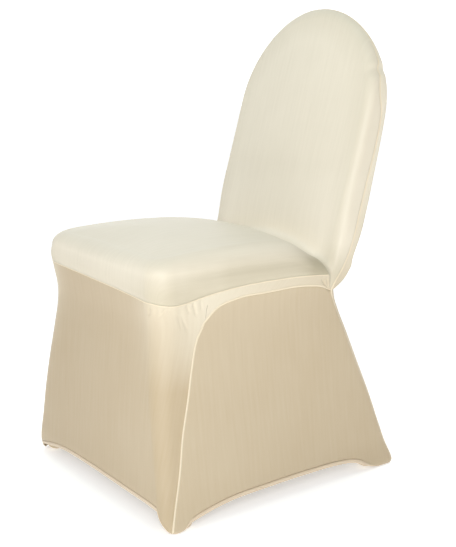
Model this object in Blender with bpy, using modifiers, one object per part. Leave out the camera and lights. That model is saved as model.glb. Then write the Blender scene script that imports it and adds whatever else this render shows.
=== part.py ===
"""Fitted stretch-knit cover for a banquet chair, as it hangs on the chair, with the chair left out.

One panel covers the seat and the inside of the back, one covers the outside of the back down to the
rear feet, one wraps the front and both corners and runs back in a strip below the seat, and one with
an arched top closes each side. Four closed pockets hold the feet. Metres, +Z up, front towards -Y.
"""
from collections import namedtuple
import math

import bpy
import numpy as np

# Cloth
CLOTH = 0.0022          # thickness of a panel with its seam allowance
SEAM_GAP = 0.0003       # clear space between two panels along a seam
POCKET_CLOTH = 0.0024   # the foot pockets are a doubled, tougher cloth
MIDDLE_Y = 0.04725      # the drawing's y at the middle of the cover's length, which becomes y = 0

# Seat
SEAT_HALF = 0.2125      # half the width over the pad's sides
SEAT_CROWN = 0.0060     # rise of the seat's middle over its sides
SEAT_EDGE = 0.0380      # width of the turned-down edge
SEAT_BULGE = 0.0030     # how far the pad's side stands out over the seam below it
SEAT_POLE_Y = -0.0500   # where the rows of the seat's front fan out from

# Back
BACK_FOOT_Y = 0.1870    # front face of the back, at the height BACK_FOOT_Z
BACK_FOOT_Z = 0.4630
BACK_SLOPE = 0.3050     # how far the back leans rearward for each metre up, at its foot
BACK_BEND = 0.0700      # and how its lean straightens towards the crest
BACK_CROWN = 0.0060     # swell of the inside back over its edges
ARCH_CENTRE_Z = 0.7140  # centre of the arched top
CREST_Z = 0.9080
BACK_EDGE = 0.0200      # rounding of the front edge of the back

# Foot pockets, inside the corners: outer face, the end at the corner, which way they run from it, their plan
# sizes at the sole and at the rim, and how far the sole is set back from the rim at the corner
POCKET_COLUMNS = "name outer_x corner_y facing sole_width rim_width sole_length rim_length set_back"
Pocket = namedtuple("Pocket", POCKET_COLUMNS)
POCKETS = [
    Pocket("front", 0.2486, -0.2240, 1, 0.0300, 0.0320, 0.0400, 0.0640, 0.0155),
    Pocket("rear", 0.2325, 0.3180, -1, 0.0320, 0.0350, 0.0560, 0.0790, 0.0035),
]
POCKET_CORNER = 0.0140
POCKET_HEIGHT = 0.0214
POCKET_SOLE_ROUND = 0.0065

# Skirt, by height: front face, front half width, corner radius, rear half width, rear face beside the
# seam, radius of the rear corner, and how far the middle of the rear swells behind its sides
Level = namedtuple("Level", "z front_y front_half corner rear_half rear_y rear_round rear_swell")
SKIRT = [
    Level(0.0000, -0.2150, 0.2530, 0.0120, 0.2400, 0.3215, 0.0090, 0.000),
    Level(0.0060, -0.2205, 0.2545, 0.0145, 0.2410, 0.3260, 0.0105, 0.000),
    Level(0.0140, -0.2250, 0.2535, 0.0170, 0.2395, 0.3260, 0.0120, 0.000),
    Level(0.0228, -0.2285, 0.2515, 0.0185, 0.2370, 0.3240, 0.0135, 0.000),
    Level(0.0400, -0.2305, 0.2480, 0.0200, 0.2325, 0.3175, 0.0140, 0.001),
    Level(0.0830, -0.2288, 0.2410, 0.0235, 0.2270, 0.3020, 0.0145, 0.003),
    Level(0.1530, -0.2260, 0.2300, 0.0270, 0.2205, 0.2765, 0.0150, 0.008),
    Level(0.2220, -0.2215, 0.2185, 0.0310, 0.2135, 0.2485, 0.0150, 0.014),
    Level(0.2880, -0.2145, 0.2095, 0.0350, 0.2070, 0.2210, 0.0130, 0.022),
    Level(0.3310, -0.2105, 0.2050, 0.0380, 0.2025, 0.2015, 0.0100, 0.031),
    Level(0.3560, -0.2100, 0.2040, 0.0390, 0.2010, 0.1915, 0.0080, 0.038),
    Level(0.3720, -0.2115, 0.2050, 0.0400, 0.2010, 0.1890, 0.0060, 0.043),
    Level(0.3900, -0.2140, 0.2075, 0.0400, 0.2035, 0.1870, 0.0060, 0.043),
    Level(0.4150, -0.2175, 0.2110, 0.0400, 0.2090, 0.1850, 0.0060, 0.043),
]

# Hem: how high it hangs along the front by share of the way from the middle to the corner, round the corner
# by share of the way to the side panel, along a side by place, and along the rear by share of the way from
# the middle. It drops to the floor round each foot, and more gently on the left of the front.
Hem = namedtuple("Hem", "at z")
HEM_FRONT = {
    1: [Hem(0.00, 0.0400), Hem(0.60, 0.0400), Hem(0.92, 0.0396), Hem(1.00, 0.0385)],
    -1: [Hem(0.00, 0.0400), Hem(0.30, 0.0388), Hem(0.56, 0.0356), Hem(0.80, 0.0266), Hem(1.00, 0.0150)],
}
HEM_CORNER = {
    1: [Hem(0.00, 0.0385), Hem(0.05, 0.0280), Hem(0.10, 0.0190), Hem(0.17, 0.0110), Hem(0.26, 0.0055),
        Hem(0.38, 0.0025), Hem(0.55, 0.0015), Hem(1.00, 0.0015)],
    -1: [Hem(0.00, 0.0150), Hem(0.10, 0.0122), Hem(0.25, 0.0075), Hem(0.40, 0.0040), Hem(0.60, 0.0020),
         Hem(0.80, 0.0015), Hem(1.00, 0.0015)],
}
HEM_SIDE = [
    Hem(-0.214, 0.0015), Hem(-0.200, 0.0015), Hem(-0.191, 0.0038), Hem(-0.179, 0.0115), Hem(-0.166, 0.0152),
    Hem(-0.151, 0.0182), Hem(-0.128, 0.0224), Hem(-0.089, 0.0273), Hem(0.000, 0.0300), Hem(0.100, 0.0305),
    Hem(0.181, 0.0282), Hem(0.213, 0.0246), Hem(0.2285, 0.0200), Hem(0.244, 0.0134), Hem(0.261, 0.0070),
    Hem(0.281, 0.0022), Hem(0.297, 0.0015), Hem(0.312, 0.0015),
]
HEM_REAR = [
    Hem(0.00, 0.0330), Hem(0.78, 0.0325), Hem(0.855, 0.0260), Hem(0.90, 0.0120), Hem(0.94, 0.0030),
    Hem(1.00, 0.0015),
]
HEM_LOW = 0.0015        # its height under the feet

# Seam between seat and skirt: its height by place along the side
SeamPoint = namedtuple("SeamPoint", "y z")
SEAT_SEAM = [
    SeamPoint(-0.2300, 0.4000), SeamPoint(-0.2000, 0.3965), SeamPoint(-0.1600, 0.3975),
    SeamPoint(-0.1100, 0.4040), SeamPoint(-0.0500, 0.4085), SeamPoint(0.0300, 0.4105),
    SeamPoint(0.1200, 0.4080), SeamPoint(0.1740, 0.4030),
]
FRONT_EDGE_Y = -0.2200  # front of the seat
SEAM_FRONT_Z = 0.4070   # height of the seam at the middle of the front
SEAM_TILT = 0.0060      # it runs this much lower at the right-hand corner and higher at the left
TILT_Y = -0.2100        # which fades away rearward from here
TILT_REACH = 0.2000     # over this length

# Seam round the side panel: up the front corner by height, then back along the arch by place to the pinch
LegSeam = namedtuple("LegSeam", "z along")
LEG_SEAM = [
    LegSeam(0.0000, -0.2150), LegSeam(0.0134, -0.2138), LegSeam(0.0303, -0.2094), LegSeam(0.0511, -0.2034),
    LegSeam(0.0755, -0.1965), LegSeam(0.1050, -0.1890), LegSeam(0.1590, -0.1780), LegSeam(0.2235, -0.1585),
    LegSeam(0.2800, -0.1440), LegSeam(0.3240, -0.1300), LegSeam(0.3530, -0.1130), LegSeam(0.4000, -0.1060),
]
ARCH_SEAM = [
    SeamPoint(-0.1130, 0.3530), SeamPoint(-0.0870, 0.3745), SeamPoint(-0.0440, 0.3870),
    SeamPoint(0.0240, 0.3895), SeamPoint(0.1280, 0.3880), SeamPoint(0.1600, 0.3820),
    SeamPoint(0.1830, 0.3720),
]
REAR_SEAM_TURN = math.radians(50)   # the seam to the back panel lies this far round the rear corner
PINCH_REACH = 0.0300    # below the pinch the seam swings out to there over this height
SIDE_HOLLOW = 0.0040    # how far the stretched sides draw in
HOLLOW_Z = 0.2000       # height where they draw in most
HOLLOW_REACH = 0.2500   # and how far above and below that they do

# Height of the seat where its flat ends and the edge turns down, by place
SEAT_TOP = [
    SeamPoint(-0.2200, 0.4705), SeamPoint(-0.1600, 0.4760), SeamPoint(-0.0900, 0.4795),
    SeamPoint(0.0000, 0.4800), SeamPoint(0.0900, 0.4765), SeamPoint(0.1700, 0.4680),
]
SEAT_REAR_Y = 0.0800    # from here rearward the seat dips towards the crease
SEAT_REAR_RUN = 0.0900  # over this length
SEAT_REAR_DRAW = 0.0100 # and its middle line is drawn this much forward
SEAT_REAR_DIP = 0.6000  # and its crown goes down by this share
# Middle line of the crease between seat and back, from the seat up
CREASE = [
    SeamPoint(0.1710, 0.4695), SeamPoint(0.1815, 0.4710), SeamPoint(0.1885, 0.4755),
    SeamPoint(0.1935, 0.4850),
]
CREASE_CROWN = 0.0030   # how much lower the crease is at its ends
CREASE_EDGE = 0.0304    # width of the turned-down edge there

# Back, by height: half width, place of the seam, rear face, radius of the rear edge
BackLevel = namedtuple("BackLevel", "z half seam_y rear_y rear_round")
BACK = [
    BackLevel(0.3720, 0.2010, 0.1830, 0.1900, 0.0060),
    BackLevel(0.3890, 0.2040, 0.1850, 0.2120, 0.0100),
    BackLevel(0.4070, 0.2060, 0.1900, 0.2290, 0.0140),
    BackLevel(0.4300, 0.2070, 0.1990, 0.2430, 0.0180),
    BackLevel(0.4630, 0.2090, 0.2115, 0.2560, 0.0200),
    BackLevel(0.5200, 0.2095, 0.2360, 0.2715, 0.0210),
    BackLevel(0.5780, 0.2090, 0.2590, 0.2870, 0.0210),
    BackLevel(0.6530, 0.2080, 0.2850, 0.3070, 0.0200),
    BackLevel(0.7050, 0.2070, 0.2950, 0.3175, 0.0190),
    BackLevel(0.7400, 0.2060, 0.2920, 0.3215, 0.0190),
    BackLevel(0.7900, 0.2020, 0.3030, 0.3250, 0.0190),
    BackLevel(0.9100, 0.2000, 0.3190, 0.3280, 0.0220),
]
REAR_CROWN = 0.0040     # swell of the outside of the back
REAR_EDGE = 0.0100      # rounding of the rear skirt's edge, besides its swell
FOOT_BLEND = 0.2000     # height over which the inside back grows out of the crease
SWELL_BLEND = 0.0900    # and the outside out of the rear skirt

# Soft folds below the seat at the right-hand front corner and its fainter match on the left: place along
# the skirt from the corner, height of the top and the bottom, width, and depth (a minus is a ridge)
Fold = namedtuple("Fold", "side along top bottom width depth")
FOLDS = [
    Fold(1, -0.1830, 0.402, 0.330, 0.016, 0.0030),
    Fold(1, -0.1640, 0.402, 0.345, 0.013, 0.0026),
    Fold(1, -0.1450, 0.400, 0.300, 0.020, 0.0020),
    Fold(1, -0.2150, 0.398, 0.340, 0.018, -0.0014),
    Fold(-1, -0.1900, 0.405, 0.335, 0.022, 0.0018),
    Fold(-1, -0.1600, 0.403, 0.350, 0.016, 0.0014),
]

# Facets: how many steps each stretch of a panel has
STEPS_FRONT = 8         # front of the skirt, middle to corner
STEPS_CORNER = 10       # corner, to the side panel's seam
STEPS_LEG = 15          # hem to the spring of the arch
STEPS_STRIP = 4         # strip between the arch and the seat
STEPS_BACK = 11         # up the side of the back
STEPS_ARCH = 9          # round the arch to the crest
STEPS_ACROSS = 10       # edge to middle of the seat and back panels
SIDE_PLACES = [0, 0.03, 0.06, 0.09, 0.13, 0.20, 0.32, 0.46, 0.60, 0.72, 0.80, 0.86, 0.91, 0.955, 1]
ROUND_WEIGHT = 0.0400   # a radian of rounding has as many steps as this length of flat cloth
FRONT_CROWDING = 1.5    # the steps of the front crowd this much towards its corners
BACK_CROWDING = 1.25    # and those of the back's side towards the pinch
HEM_CROWDING = 1.6      # those of the skirt towards the hem
CORNER_CROWDING = 1.4   # and those of a corner towards the front
ROW_SAMPLES = 24        # points that a row's flat and its rounding are drawn with before it is stepped
SIDE_SAMPLES = 7        # and those of its straight side

COVER_TINT = (0.855, 0.795, 0.665)
SEAT_TINT = (0.890, 0.860, 0.760)


def smooth(table, key, value, at):
    """Smooth value of one column of a table at places in its key column."""
    keys = np.array([getattr(row, key) for row in table])
    values = np.array([getattr(row, value) for row in table])
    slopes = np.gradient(values, keys)
    at = np.clip(at, keys[0], keys[-1])
    place = np.clip(np.searchsorted(keys, at) - 1, 0, len(keys) - 2)
    width = keys[place + 1] - keys[place]
    part = (at - keys[place]) / width
    start = values[place] * (1 + 2 * part) * (1 - part) ** 2 + slopes[place] * width * part * (1 - part) ** 2
    end = values[place + 1] * part ** 2 * (3 - 2 * part) - slopes[place + 1] * width * part ** 2 * (1 - part)
    return start + end


def bump(distance):
    """Soft hill: 1 at 0, falling to 0 at 1 with no edge."""
    return np.where(np.abs(distance) < 1, np.cos(np.clip(distance, -1, 1) * math.pi / 2) ** 2, 0.0)


def fold_depth(side, along, z):
    """How far the folds at this place draw the skirt in."""
    depth = 0.0
    for fold in FOLDS:
        if fold.side == side:
            down = np.clip((fold.top - z) / (fold.top - fold.bottom), 0, 1)
            fade = np.minimum(1, down * 6) * (1 - down) ** 1.5
            depth = depth + fold.depth * fade * bump((along - fold.along) / fold.width)
    return depth


def skirt_side(side, along, z):
    """Point of the skirt from the front corner to the rear one; along is y, unrolled round the corners."""
    front_y = smooth(SKIRT, "z", "front_y", z)
    front_half = smooth(SKIRT, "z", "front_half", z)
    corner = smooth(SKIRT, "z", "corner", z)
    rear_half = smooth(SKIRT, "z", "rear_half", z)
    rear_y = smooth(SKIRT, "z", "rear_y", z)
    rear_round = smooth(SKIRT, "z", "rear_round", z)
    start = front_y + corner
    end = rear_y - rear_round
    depth = fold_depth(side, along, z)
    part = np.clip((along - start) / (end - start), 0, 1)
    hollow = SIDE_HOLLOW * np.sin(part * math.pi) ** 2 * bump((z - HOLLOW_Z) / HOLLOW_REACH)
    x = front_half + (rear_half - front_half) * part - hollow - depth
    y = np.clip(along, start, end)
    turn_front = np.clip((start - along) / corner, 0, math.pi / 2)
    turn_rear = np.clip((along - end) / rear_round, 0, math.pi / 2)
    x = x - corner * (1 - np.cos(turn_front)) - rear_round * (1 - np.cos(turn_rear))
    x = x + depth * (1 - np.cos(turn_front))
    y = y - (corner - depth) * np.sin(turn_front) + rear_round * np.sin(turn_rear)
    return np.stack([side * x, y, z + 0 * x], axis=-1)


def corner_start(z):
    """Place along the skirt where its front face meets the corner's rounding."""
    front_y = smooth(SKIRT, "z", "front_y", z)
    corner = smooth(SKIRT, "z", "corner", z)
    return front_y + corner * (1 - math.pi / 2)


def rear_corner(z):
    """Place along the skirt of the seam round the rear corner."""
    rear_y = smooth(SKIRT, "z", "rear_y", z)
    rear_round = smooth(SKIRT, "z", "rear_round", z)
    return rear_y - rear_round + rear_round * REAR_SEAM_TURN


def rear_seam(z):
    """The same, drawn in to the pinch at its top."""
    pinch = ARCH_SEAM[-1]
    return rear_corner(z) + (pinch.y - rear_corner(pinch.z)) * bump((pinch.z - z) / PINCH_REACH)


def seam_height(side, y, x):
    """Height of the seam between the seat and the skirt."""
    on_side = smooth(SEAT_SEAM, "y", "z", y)
    outward = np.clip(np.abs(x) / SEAT_HALF, 0, 1)
    height = SEAM_FRONT_Z + (on_side - SEAM_FRONT_Z) * outward ** 3
    return height - side * SEAM_TILT * outward * bump(np.clip((y - TILT_Y) / TILT_REACH, 0, 1))


def row_shares(edge_top):
    """How far up the skirt its rows lie, from the hem to the seat, where its edge is that high."""
    leg = HEM_LOW + (ARCH_SEAM[0].z - HEM_LOW) * np.linspace(0, 1, STEPS_LEG + 1) ** HEM_CROWDING
    strip = np.linspace(ARCH_SEAM[0].z, edge_top, STEPS_STRIP + 1)[1:]
    return (np.concatenate([leg, strip]) - HEM_LOW) / (edge_top - HEM_LOW)


def front_skirt(side):
    """Half of the front skirt, from the middle of the front round the corner to the side panel's seam."""
    edge_along = LEG_SEAM[-1].along
    edge_top = float(seam_height(side, edge_along, SEAT_HALF))
    level_top = float(seam_height(0, edge_along, SEAT_HALF))
    columns = STEPS_FRONT + STEPS_CORNER
    rows = []
    for level_share, edge_share in zip(row_shares(level_top), row_shares(edge_top)):
        row = []
        z_edge = HEM_LOW + (edge_top - HEM_LOW) * edge_share
        end = float(smooth(LEG_SEAM, "z", "along", z_edge))
        start = float(corner_start(z_edge))
        half = float(smooth(SKIRT, "z", "front_half", z_edge) - smooth(SKIRT, "z", "corner", z_edge))
        for column in range(columns + 1):
            share = level_share + (edge_share - level_share) * column / columns
            if column < STEPS_FRONT:
                across = 1 - (1 - column / STEPS_FRONT) ** FRONT_CROWDING
                low = float(smooth(HEM_FRONT[side], "at", "z", across))
                z = low + (seam_height(side, FRONT_EDGE_Y, half * across) - low) * share
                row.append((side * half * across, float(smooth(SKIRT, "z", "front_y", z)), z))
            else:
                turn = ((column - STEPS_FRONT) / STEPS_CORNER) ** CORNER_CROWDING
                along = start + (end - start) * turn
                width = half + (SEAT_HALF - half) * min(1, 2 * turn)
                top = seam_height(side, max(along, FRONT_EDGE_Y), width) if turn < 1 else edge_top
                low = float(smooth(HEM_CORNER[side], "at", "z", turn))
                row.append(tuple(skirt_side(side, along, low + (top - low) * share)))
        rows.append(row)
    return np.array(rows, dtype=float)


def strip_under_seat(side):
    """The strip of the front skirt that runs back between the arch and the seat."""
    top_start = LEG_SEAM[-1].along
    rows = []
    for step in np.linspace(0, 1, STEPS_STRIP + 1):
        row = []
        for place in SIDE_PLACES:
            low_y = ARCH_SEAM[0].y + (ARCH_SEAM[-1].y - ARCH_SEAM[0].y) * place
            low_z = smooth(ARCH_SEAM, "y", "z", low_y)
            high_y = top_start + (SEAT_SEAM[-1].y - top_start) * place
            high_z = seam_height(side, high_y, SEAT_HALF)
            z = low_z + (high_z - low_z) * step
            along = low_y + (high_y - low_y) * step
            if place == 0:
                along = smooth(LEG_SEAM, "z", "along", z)
            row.append(tuple(skirt_side(side, along, z)))
        rows.append(row)
    return np.array(rows, dtype=float)


def side_panel(side):
    """A side panel, from the hem up to its arched seam."""
    arch_z = ARCH_SEAM[0].z
    hem_front = smooth(LEG_SEAM, "z", "along", HEM_LOW)
    hem_rear = rear_seam(HEM_LOW)
    rows = []
    for step in np.linspace(0, 1, STEPS_LEG + 1) ** HEM_CROWDING:
        row = []
        front = smooth(LEG_SEAM, "z", "along", HEM_LOW + (arch_z - HEM_LOW) * step)
        rear = rear_seam(HEM_LOW + (ARCH_SEAM[-1].z - HEM_LOW) * step)
        for place in SIDE_PLACES:
            top_y = ARCH_SEAM[0].y + (ARCH_SEAM[-1].y - ARCH_SEAM[0].y) * place
            top_z = smooth(ARCH_SEAM, "y", "z", top_y)
            low_z = smooth(HEM_SIDE, "at", "z", hem_front + (hem_rear - hem_front) * place)
            z = low_z + (top_z - low_z) * step
            row.append(tuple(skirt_side(side, front + (rear - front) * place, z)))
        rows.append(row)
    return np.array(rows, dtype=float)


def half_row(middle, reach, drop, edge, crown, bulge=0.0):
    """A row from the seam to the middle of a face: straight side, rounded edge, crowned flat."""
    length = np.linalg.norm(reach)
    depth = np.linalg.norm(drop)
    wide = min(edge, 0.8 * length)
    deep = max(min(edge * 1.2, depth) - crown, 0.001)
    flat = np.linspace(0, 1, ROW_SAMPLES)
    turn = np.linspace(0, math.pi / 2, ROW_SAMPLES)[1:]
    side = np.linspace(0, 1, SIDE_SAMPLES + 1)[1:]
    rest = max(depth - crown - deep, 1e-5)
    out = [flat * (length - wide), length - wide + wide * np.sin(turn), length + bulge * np.sin(side * math.pi)]
    down = [crown * flat ** 2, crown + deep * (1 - np.cos(turn)), crown + deep + rest * side]
    out = np.concatenate(out) / length
    down = np.concatenate(down) / (crown + deep + rest)
    points = middle + np.outer(out, reach) + np.outer(down, drop)
    lengths = np.linalg.norm(np.diff(points, axis=0), axis=1)
    bends = np.concatenate([np.zeros(ROW_SAMPLES - 1), np.diff(turn, prepend=0), np.zeros(SIDE_SAMPLES)])
    run = np.concatenate([[0], np.cumsum(lengths + ROUND_WEIGHT * bends)])
    places = run[-1] * (1 - np.linspace(0, 1, STEPS_ACROSS + 1))
    return np.stack([np.interp(places, run, points[:, axis]) for axis in range(3)], axis=1)


def back_face_y(z):
    """Front face of the back at a height."""
    return BACK_FOOT_Y + BACK_SLOPE * (z - BACK_FOOT_Z) - BACK_BEND * (z - BACK_FOOT_Z) ** 2


def back_seam(side):
    """Seam between the inside and the outside of the back, from the pinch to the crest: points and turns."""
    stations = []
    arch_half = float(smooth(BACK, "z", "half", ARCH_CENTRE_Z))
    for share in np.linspace(0, 1, STEPS_BACK + 1):
        z = BACK[0].z + (ARCH_CENTRE_Z - BACK[0].z) * share ** BACK_CROWDING
        x = float(smooth(BACK, "z", "half", z))
        stations.append((np.array([side * x, float(smooth(BACK, "z", "seam_y", z)), z]), 0.0))
    for turn in np.linspace(0, math.pi / 2, STEPS_ARCH + 1)[1:]:
        x = arch_half * math.cos(turn)
        z = ARCH_CENTRE_Z + (CREST_Z - ARCH_CENTRE_Z) * math.sin(turn)
        stations.append((np.array([side * x, float(smooth(BACK, "z", "seam_y", z)), z]), turn))
    return stations


def seat_and_inside_back(side):
    """Half of the panel over the seat and up the inside of the back, as rows from its seam to its middle."""
    rows = []
    strip = strip_under_seat(side)
    pole = np.array([0, SEAT_POLE_Y, float(smooth(SEAT_TOP, "y", "z", SEAT_POLE_Y)) + SEAT_CROWN])
    for seam in front_skirt(side)[-1]:
        reach = np.array([seam[0], seam[1] - pole[1], 0])
        crown = pole[2] - float(smooth(SEAT_TOP, "y", "z", seam[1]))
        drop = np.array([0, 0, seam[2] - pole[2]])
        rows.append(half_row(pole, reach, drop, SEAT_EDGE, crown, SEAT_BULGE))
    for seam in strip[-1][1:]:
        rearward = float(np.clip((seam[1] - SEAT_REAR_Y) / SEAT_REAR_RUN, 0, 1))
        y = max(seam[1], SEAT_POLE_Y) - SEAT_REAR_DRAW * rearward
        top = float(smooth(SEAT_TOP, "y", "z", y)) + SEAT_CROWN * (1 - SEAT_REAR_DIP * rearward)
        middle = np.array([0, y, top])
        reach = np.array([seam[0], min(seam[1] - SEAT_POLE_Y, 0), 0])
        crown = top - float(smooth(SEAT_TOP, "y", "z", min(seam[1], y)))
        bulge = SEAT_BULGE * (1 - rearward)
        rows.append(half_row(middle, reach, seam - middle - reach, SEAT_EDGE, crown, bulge))
    for step in range(1, STEPS_STRIP + 1):
        seam = strip[STEPS_STRIP - step][-1]
        crease = CREASE[step - 1]
        middle = np.array([0, crease.y, crease.z])
        drop = np.array([0, seam[1] - middle[1], seam[2] - middle[2]])
        rows.append(half_row(middle, np.array([seam[0], 0, 0]), drop, CREASE_EDGE, CREASE_CROWN))
    for seam, turn in back_seam(side)[1:]:
        x, y, z = seam
        if turn == 0:
            low = 1 - np.clip((z - BACK[0].z) / FOOT_BLEND, 0, 1)
            level = z + (CREASE[-1].z - BACK[0].z) * low ** 1.5
            middle = np.array([0, back_face_y(level) - BACK_CROWN * (1 - low ** 3), level])
            reach = np.array([x, 0, 0])
            crown = CREASE_CROWN + (BACK_CROWN - CREASE_CROWN) * (1 - low ** 2)
        else:
            middle = np.array([0, back_face_y(ARCH_CENTRE_Z) - BACK_CROWN, ARCH_CENTRE_Z])
            reach = np.array([x, back_face_y(z) - back_face_y(ARCH_CENTRE_Z), z - ARCH_CENTRE_Z])
            crown = BACK_CROWN
        rows.append(half_row(middle, reach, seam - middle - reach, BACK_EDGE, crown))
    return np.array(rows)


def rear_row(side, z):
    """A level row of the back panel below the pinch, from its seam to its middle."""
    seam = skirt_side(side, rear_seam(z), z)
    swell = REAR_CROWN / 4 + float(smooth(SKIRT, "z", "rear_swell", z))
    middle = np.array([0, float(smooth(SKIRT, "z", "rear_y", z)) + swell, z])
    reach = np.array([seam[0], 0, 0])
    return half_row(middle, reach, seam - middle - reach, REAR_EDGE + swell, swell * 0.6)


def back_panel(side):
    """Half of the back panel, from the crest down to the rear hem, as rows from its seam to its middle."""
    rows = []
    arch_rear = float(smooth(BACK, "z", "rear_y", ARCH_CENTRE_Z))
    for seam, turn in reversed(back_seam(side)[1:]):
        x, y, z = seam
        edge = float(smooth(BACK, "z", "rear_round", z))
        rear = float(smooth(BACK, "z", "rear_y", z))
        if turn == 0:
            low = 1 - np.clip((z - BACK[0].z) / SWELL_BLEND, 0, 1)
            swell = REAR_CROWN + SKIRT[-1].rear_swell * low ** 2
            middle = np.array([0, rear + swell, z])
            reach = np.array([x, 0, 0])
        else:
            swell = REAR_CROWN
            middle = np.array([0, arch_rear + swell, ARCH_CENTRE_Z])
            reach = np.array([x, rear - arch_rear, z - ARCH_CENTRE_Z])
        rows.append(half_row(middle, reach, seam - middle - reach, edge, swell))
    pinch_z = ARCH_SEAM[-1].z
    for step in np.linspace(1, 0, STEPS_LEG + 1) ** HEM_CROWDING:
        level = rear_row(side, HEM_LOW + (pinch_z - HEM_LOW) * step)
        low = smooth(HEM_REAR, "at", "z", level[:, 0] / level[0, 0])
        row = [rear_row(side, low[k] + (pinch_z - low[k]) * step)[k] for k in range(1, STEPS_ACROSS + 1)]
        rows.append(np.array([level[0], *row]))
    return np.array(rows)


def to_quads(rows, side):
    """Points and faces of a grid of rows, wound to face outward on the given side."""
    count, width = rows.shape[:2]
    faces = []
    for row in range(count - 1):
        for column in range(width - 1):
            corner = row * width + column
            quad = [corner, corner + 1, corner + width + 1, corner + width]
            faces.append(quad if side > 0 else quad[::-1])
    return rows.reshape(-1, 3), faces


def weld(patches):
    """Joins patches into one mesh, with the points that fall together made one."""
    index = {}
    points = []
    faces = []
    for verts, quads in patches:
        names = []
        for vert in verts:
            key = tuple(np.round(vert, 5) + 0.0)
            if key not in index:
                index[key] = len(points)
                points.append(vert)
            names.append(index[key])
        for quad in quads:
            loop = []
            for corner in quad:
                if names[corner] not in loop:
                    loop.append(names[corner])
            if len(loop) > 2:
                faces.append(loop)
    return np.array(points), faces


def both_halves(make, turn):
    """The right and the left half of a panel."""
    return [to_quads(make(side), side * turn) for side in (1, -1)]


def cover_panels():
    """Every panel's grids, with their faces outward."""
    return {
        "seat_and_inside_back": both_halves(seat_and_inside_back, -1),
        "back_panel": both_halves(back_panel, -1),
        "front_skirt": both_halves(front_skirt, 1) + both_halves(strip_under_seat, 1),
        "side_panel_right": [to_quads(side_panel(1), 1)],
        "side_panel_left": [to_quads(side_panel(-1), -1)],
    }


def unevenness(points):
    """The slight unevenness of a cover pulled on by hand: none at the feet, about 1 mm above."""
    x, y, z = points.T
    fade = np.clip((z - 0.05) / 0.10, 0, 1)
    sway = 0.0010 * np.sin(9 * x + 4 * z + 0.7) + 0.0007 * np.sin(17 * x - 11 * y + 1.9)
    lift = 0.0012 * np.sin(8 * x - 6 * y + 2.2)
    moved = points.copy()
    moved[:, 1] += fade * sway
    moved[:, 2] += fade * lift * np.clip((z - 0.35) / 0.1, 0, 1)
    moved[:, 1] -= MIDDLE_Y
    return moved


def face_normal(points, face):
    """Normal of a face, as long as twice its area."""
    corners = points[face]
    sides = corners[1:] - corners[0]
    return np.cross(sides[:-1], sides[1:]).sum(axis=0)


def point_normals(points, faces):
    """Unit normals at the points of a mesh."""
    normals = np.zeros_like(points)
    for face in faces:
        normals[face] += face_normal(points, face)
    return normals / np.linalg.norm(normals, axis=1)[:, None]


def rim_loop(faces):
    """Directed edges at the open edge of a mesh, as a map from each point to the next."""
    edges = set()
    for face in faces:
        edges.update(zip(face, face[1:] + face[:1]))
    return {start: end for start, end in edges if (end, start) not in edges}


def inset(points, normals, following):
    """Draws the open edge of a panel in by half the seam's gap, along the cloth."""
    moved = points.copy()
    before = {end: start for start, end in following.items()}
    for here, after in following.items():
        inward = []
        for start, end in ((before[here], here), (here, after)):
            along = points[end] - points[start]
            across = np.cross(normals[here], along)
            inward.append(across / np.linalg.norm(across))
        moved[here] += (inward[0] + inward[1]) / (1 + max(np.dot(inward[0], inward[1]), -0.3)) * SEAM_GAP / 2
    return moved


def cloth_panel(patches, lookup):
    """Closed solid of a panel: its outer face, its inner face one thickness in, and its rim.

    Each rim face is split from the same corner on both panels at a seam, so that the two stay parallel.
    """
    points, faces = weld(patches)
    points = unevenness(points)
    normals = np.array([lookup[tuple(np.round(point, 5) + 0.0)] for point in points])
    following = rim_loop(faces)
    outer = inset(points, normals, following)
    inner = outer - normals * CLOTH
    count = len(points)
    solid = [list(face) for face in faces]
    solid += [[corner + count for corner in face[::-1]] for face in faces]
    for start, end in following.items():
        if tuple(np.round(points[start], 5)) < tuple(np.round(points[end], 5)):
            solid += [[end, start, end + count], [start, start + count, end + count]]
        else:
            solid += [[end, start, start + count], [end, start + count, end + count]]
    return np.concatenate([outer, inner]), solid


def cover_normals(panels):
    """Normals of the whole cover at each of its points, shared by the panels that meet there."""
    points, faces = weld([patch for patches in panels.values() for patch in patches])
    points = unevenness(points)
    normals = point_normals(points, faces)
    return {tuple(np.round(point, 5) + 0.0): normal for point, normal in zip(points, normals)}


def fabric(name, tint, roughness):
    """Plain satin knit, without its weave."""
    material = bpy.data.materials.new(name)
    material.use_nodes = True
    shader = material.node_tree.nodes["Principled BSDF"]
    shader.inputs["Base Color"].default_value = (*tint, 1)
    shader.inputs["Roughness"].default_value = roughness
    shader.inputs["Metallic"].default_value = 0.0
    shader.inputs["Sheen Weight"].default_value = 0.25
    return material


def add_panel(name, points, faces, tint, collection):
    """One panel of the cover as an object of its own."""
    mesh = bpy.data.meshes.new(name)
    mesh.from_pydata([tuple(point) for point in points], [], faces)
    mesh.materials.append(fabric(name, tint, 0.45))
    mesh.shade_smooth()
    mesh.set_sharp_from_angle(angle=math.radians(50))
    panel = bpy.data.objects.new(name, mesh)
    collection.objects.link(panel)


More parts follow.
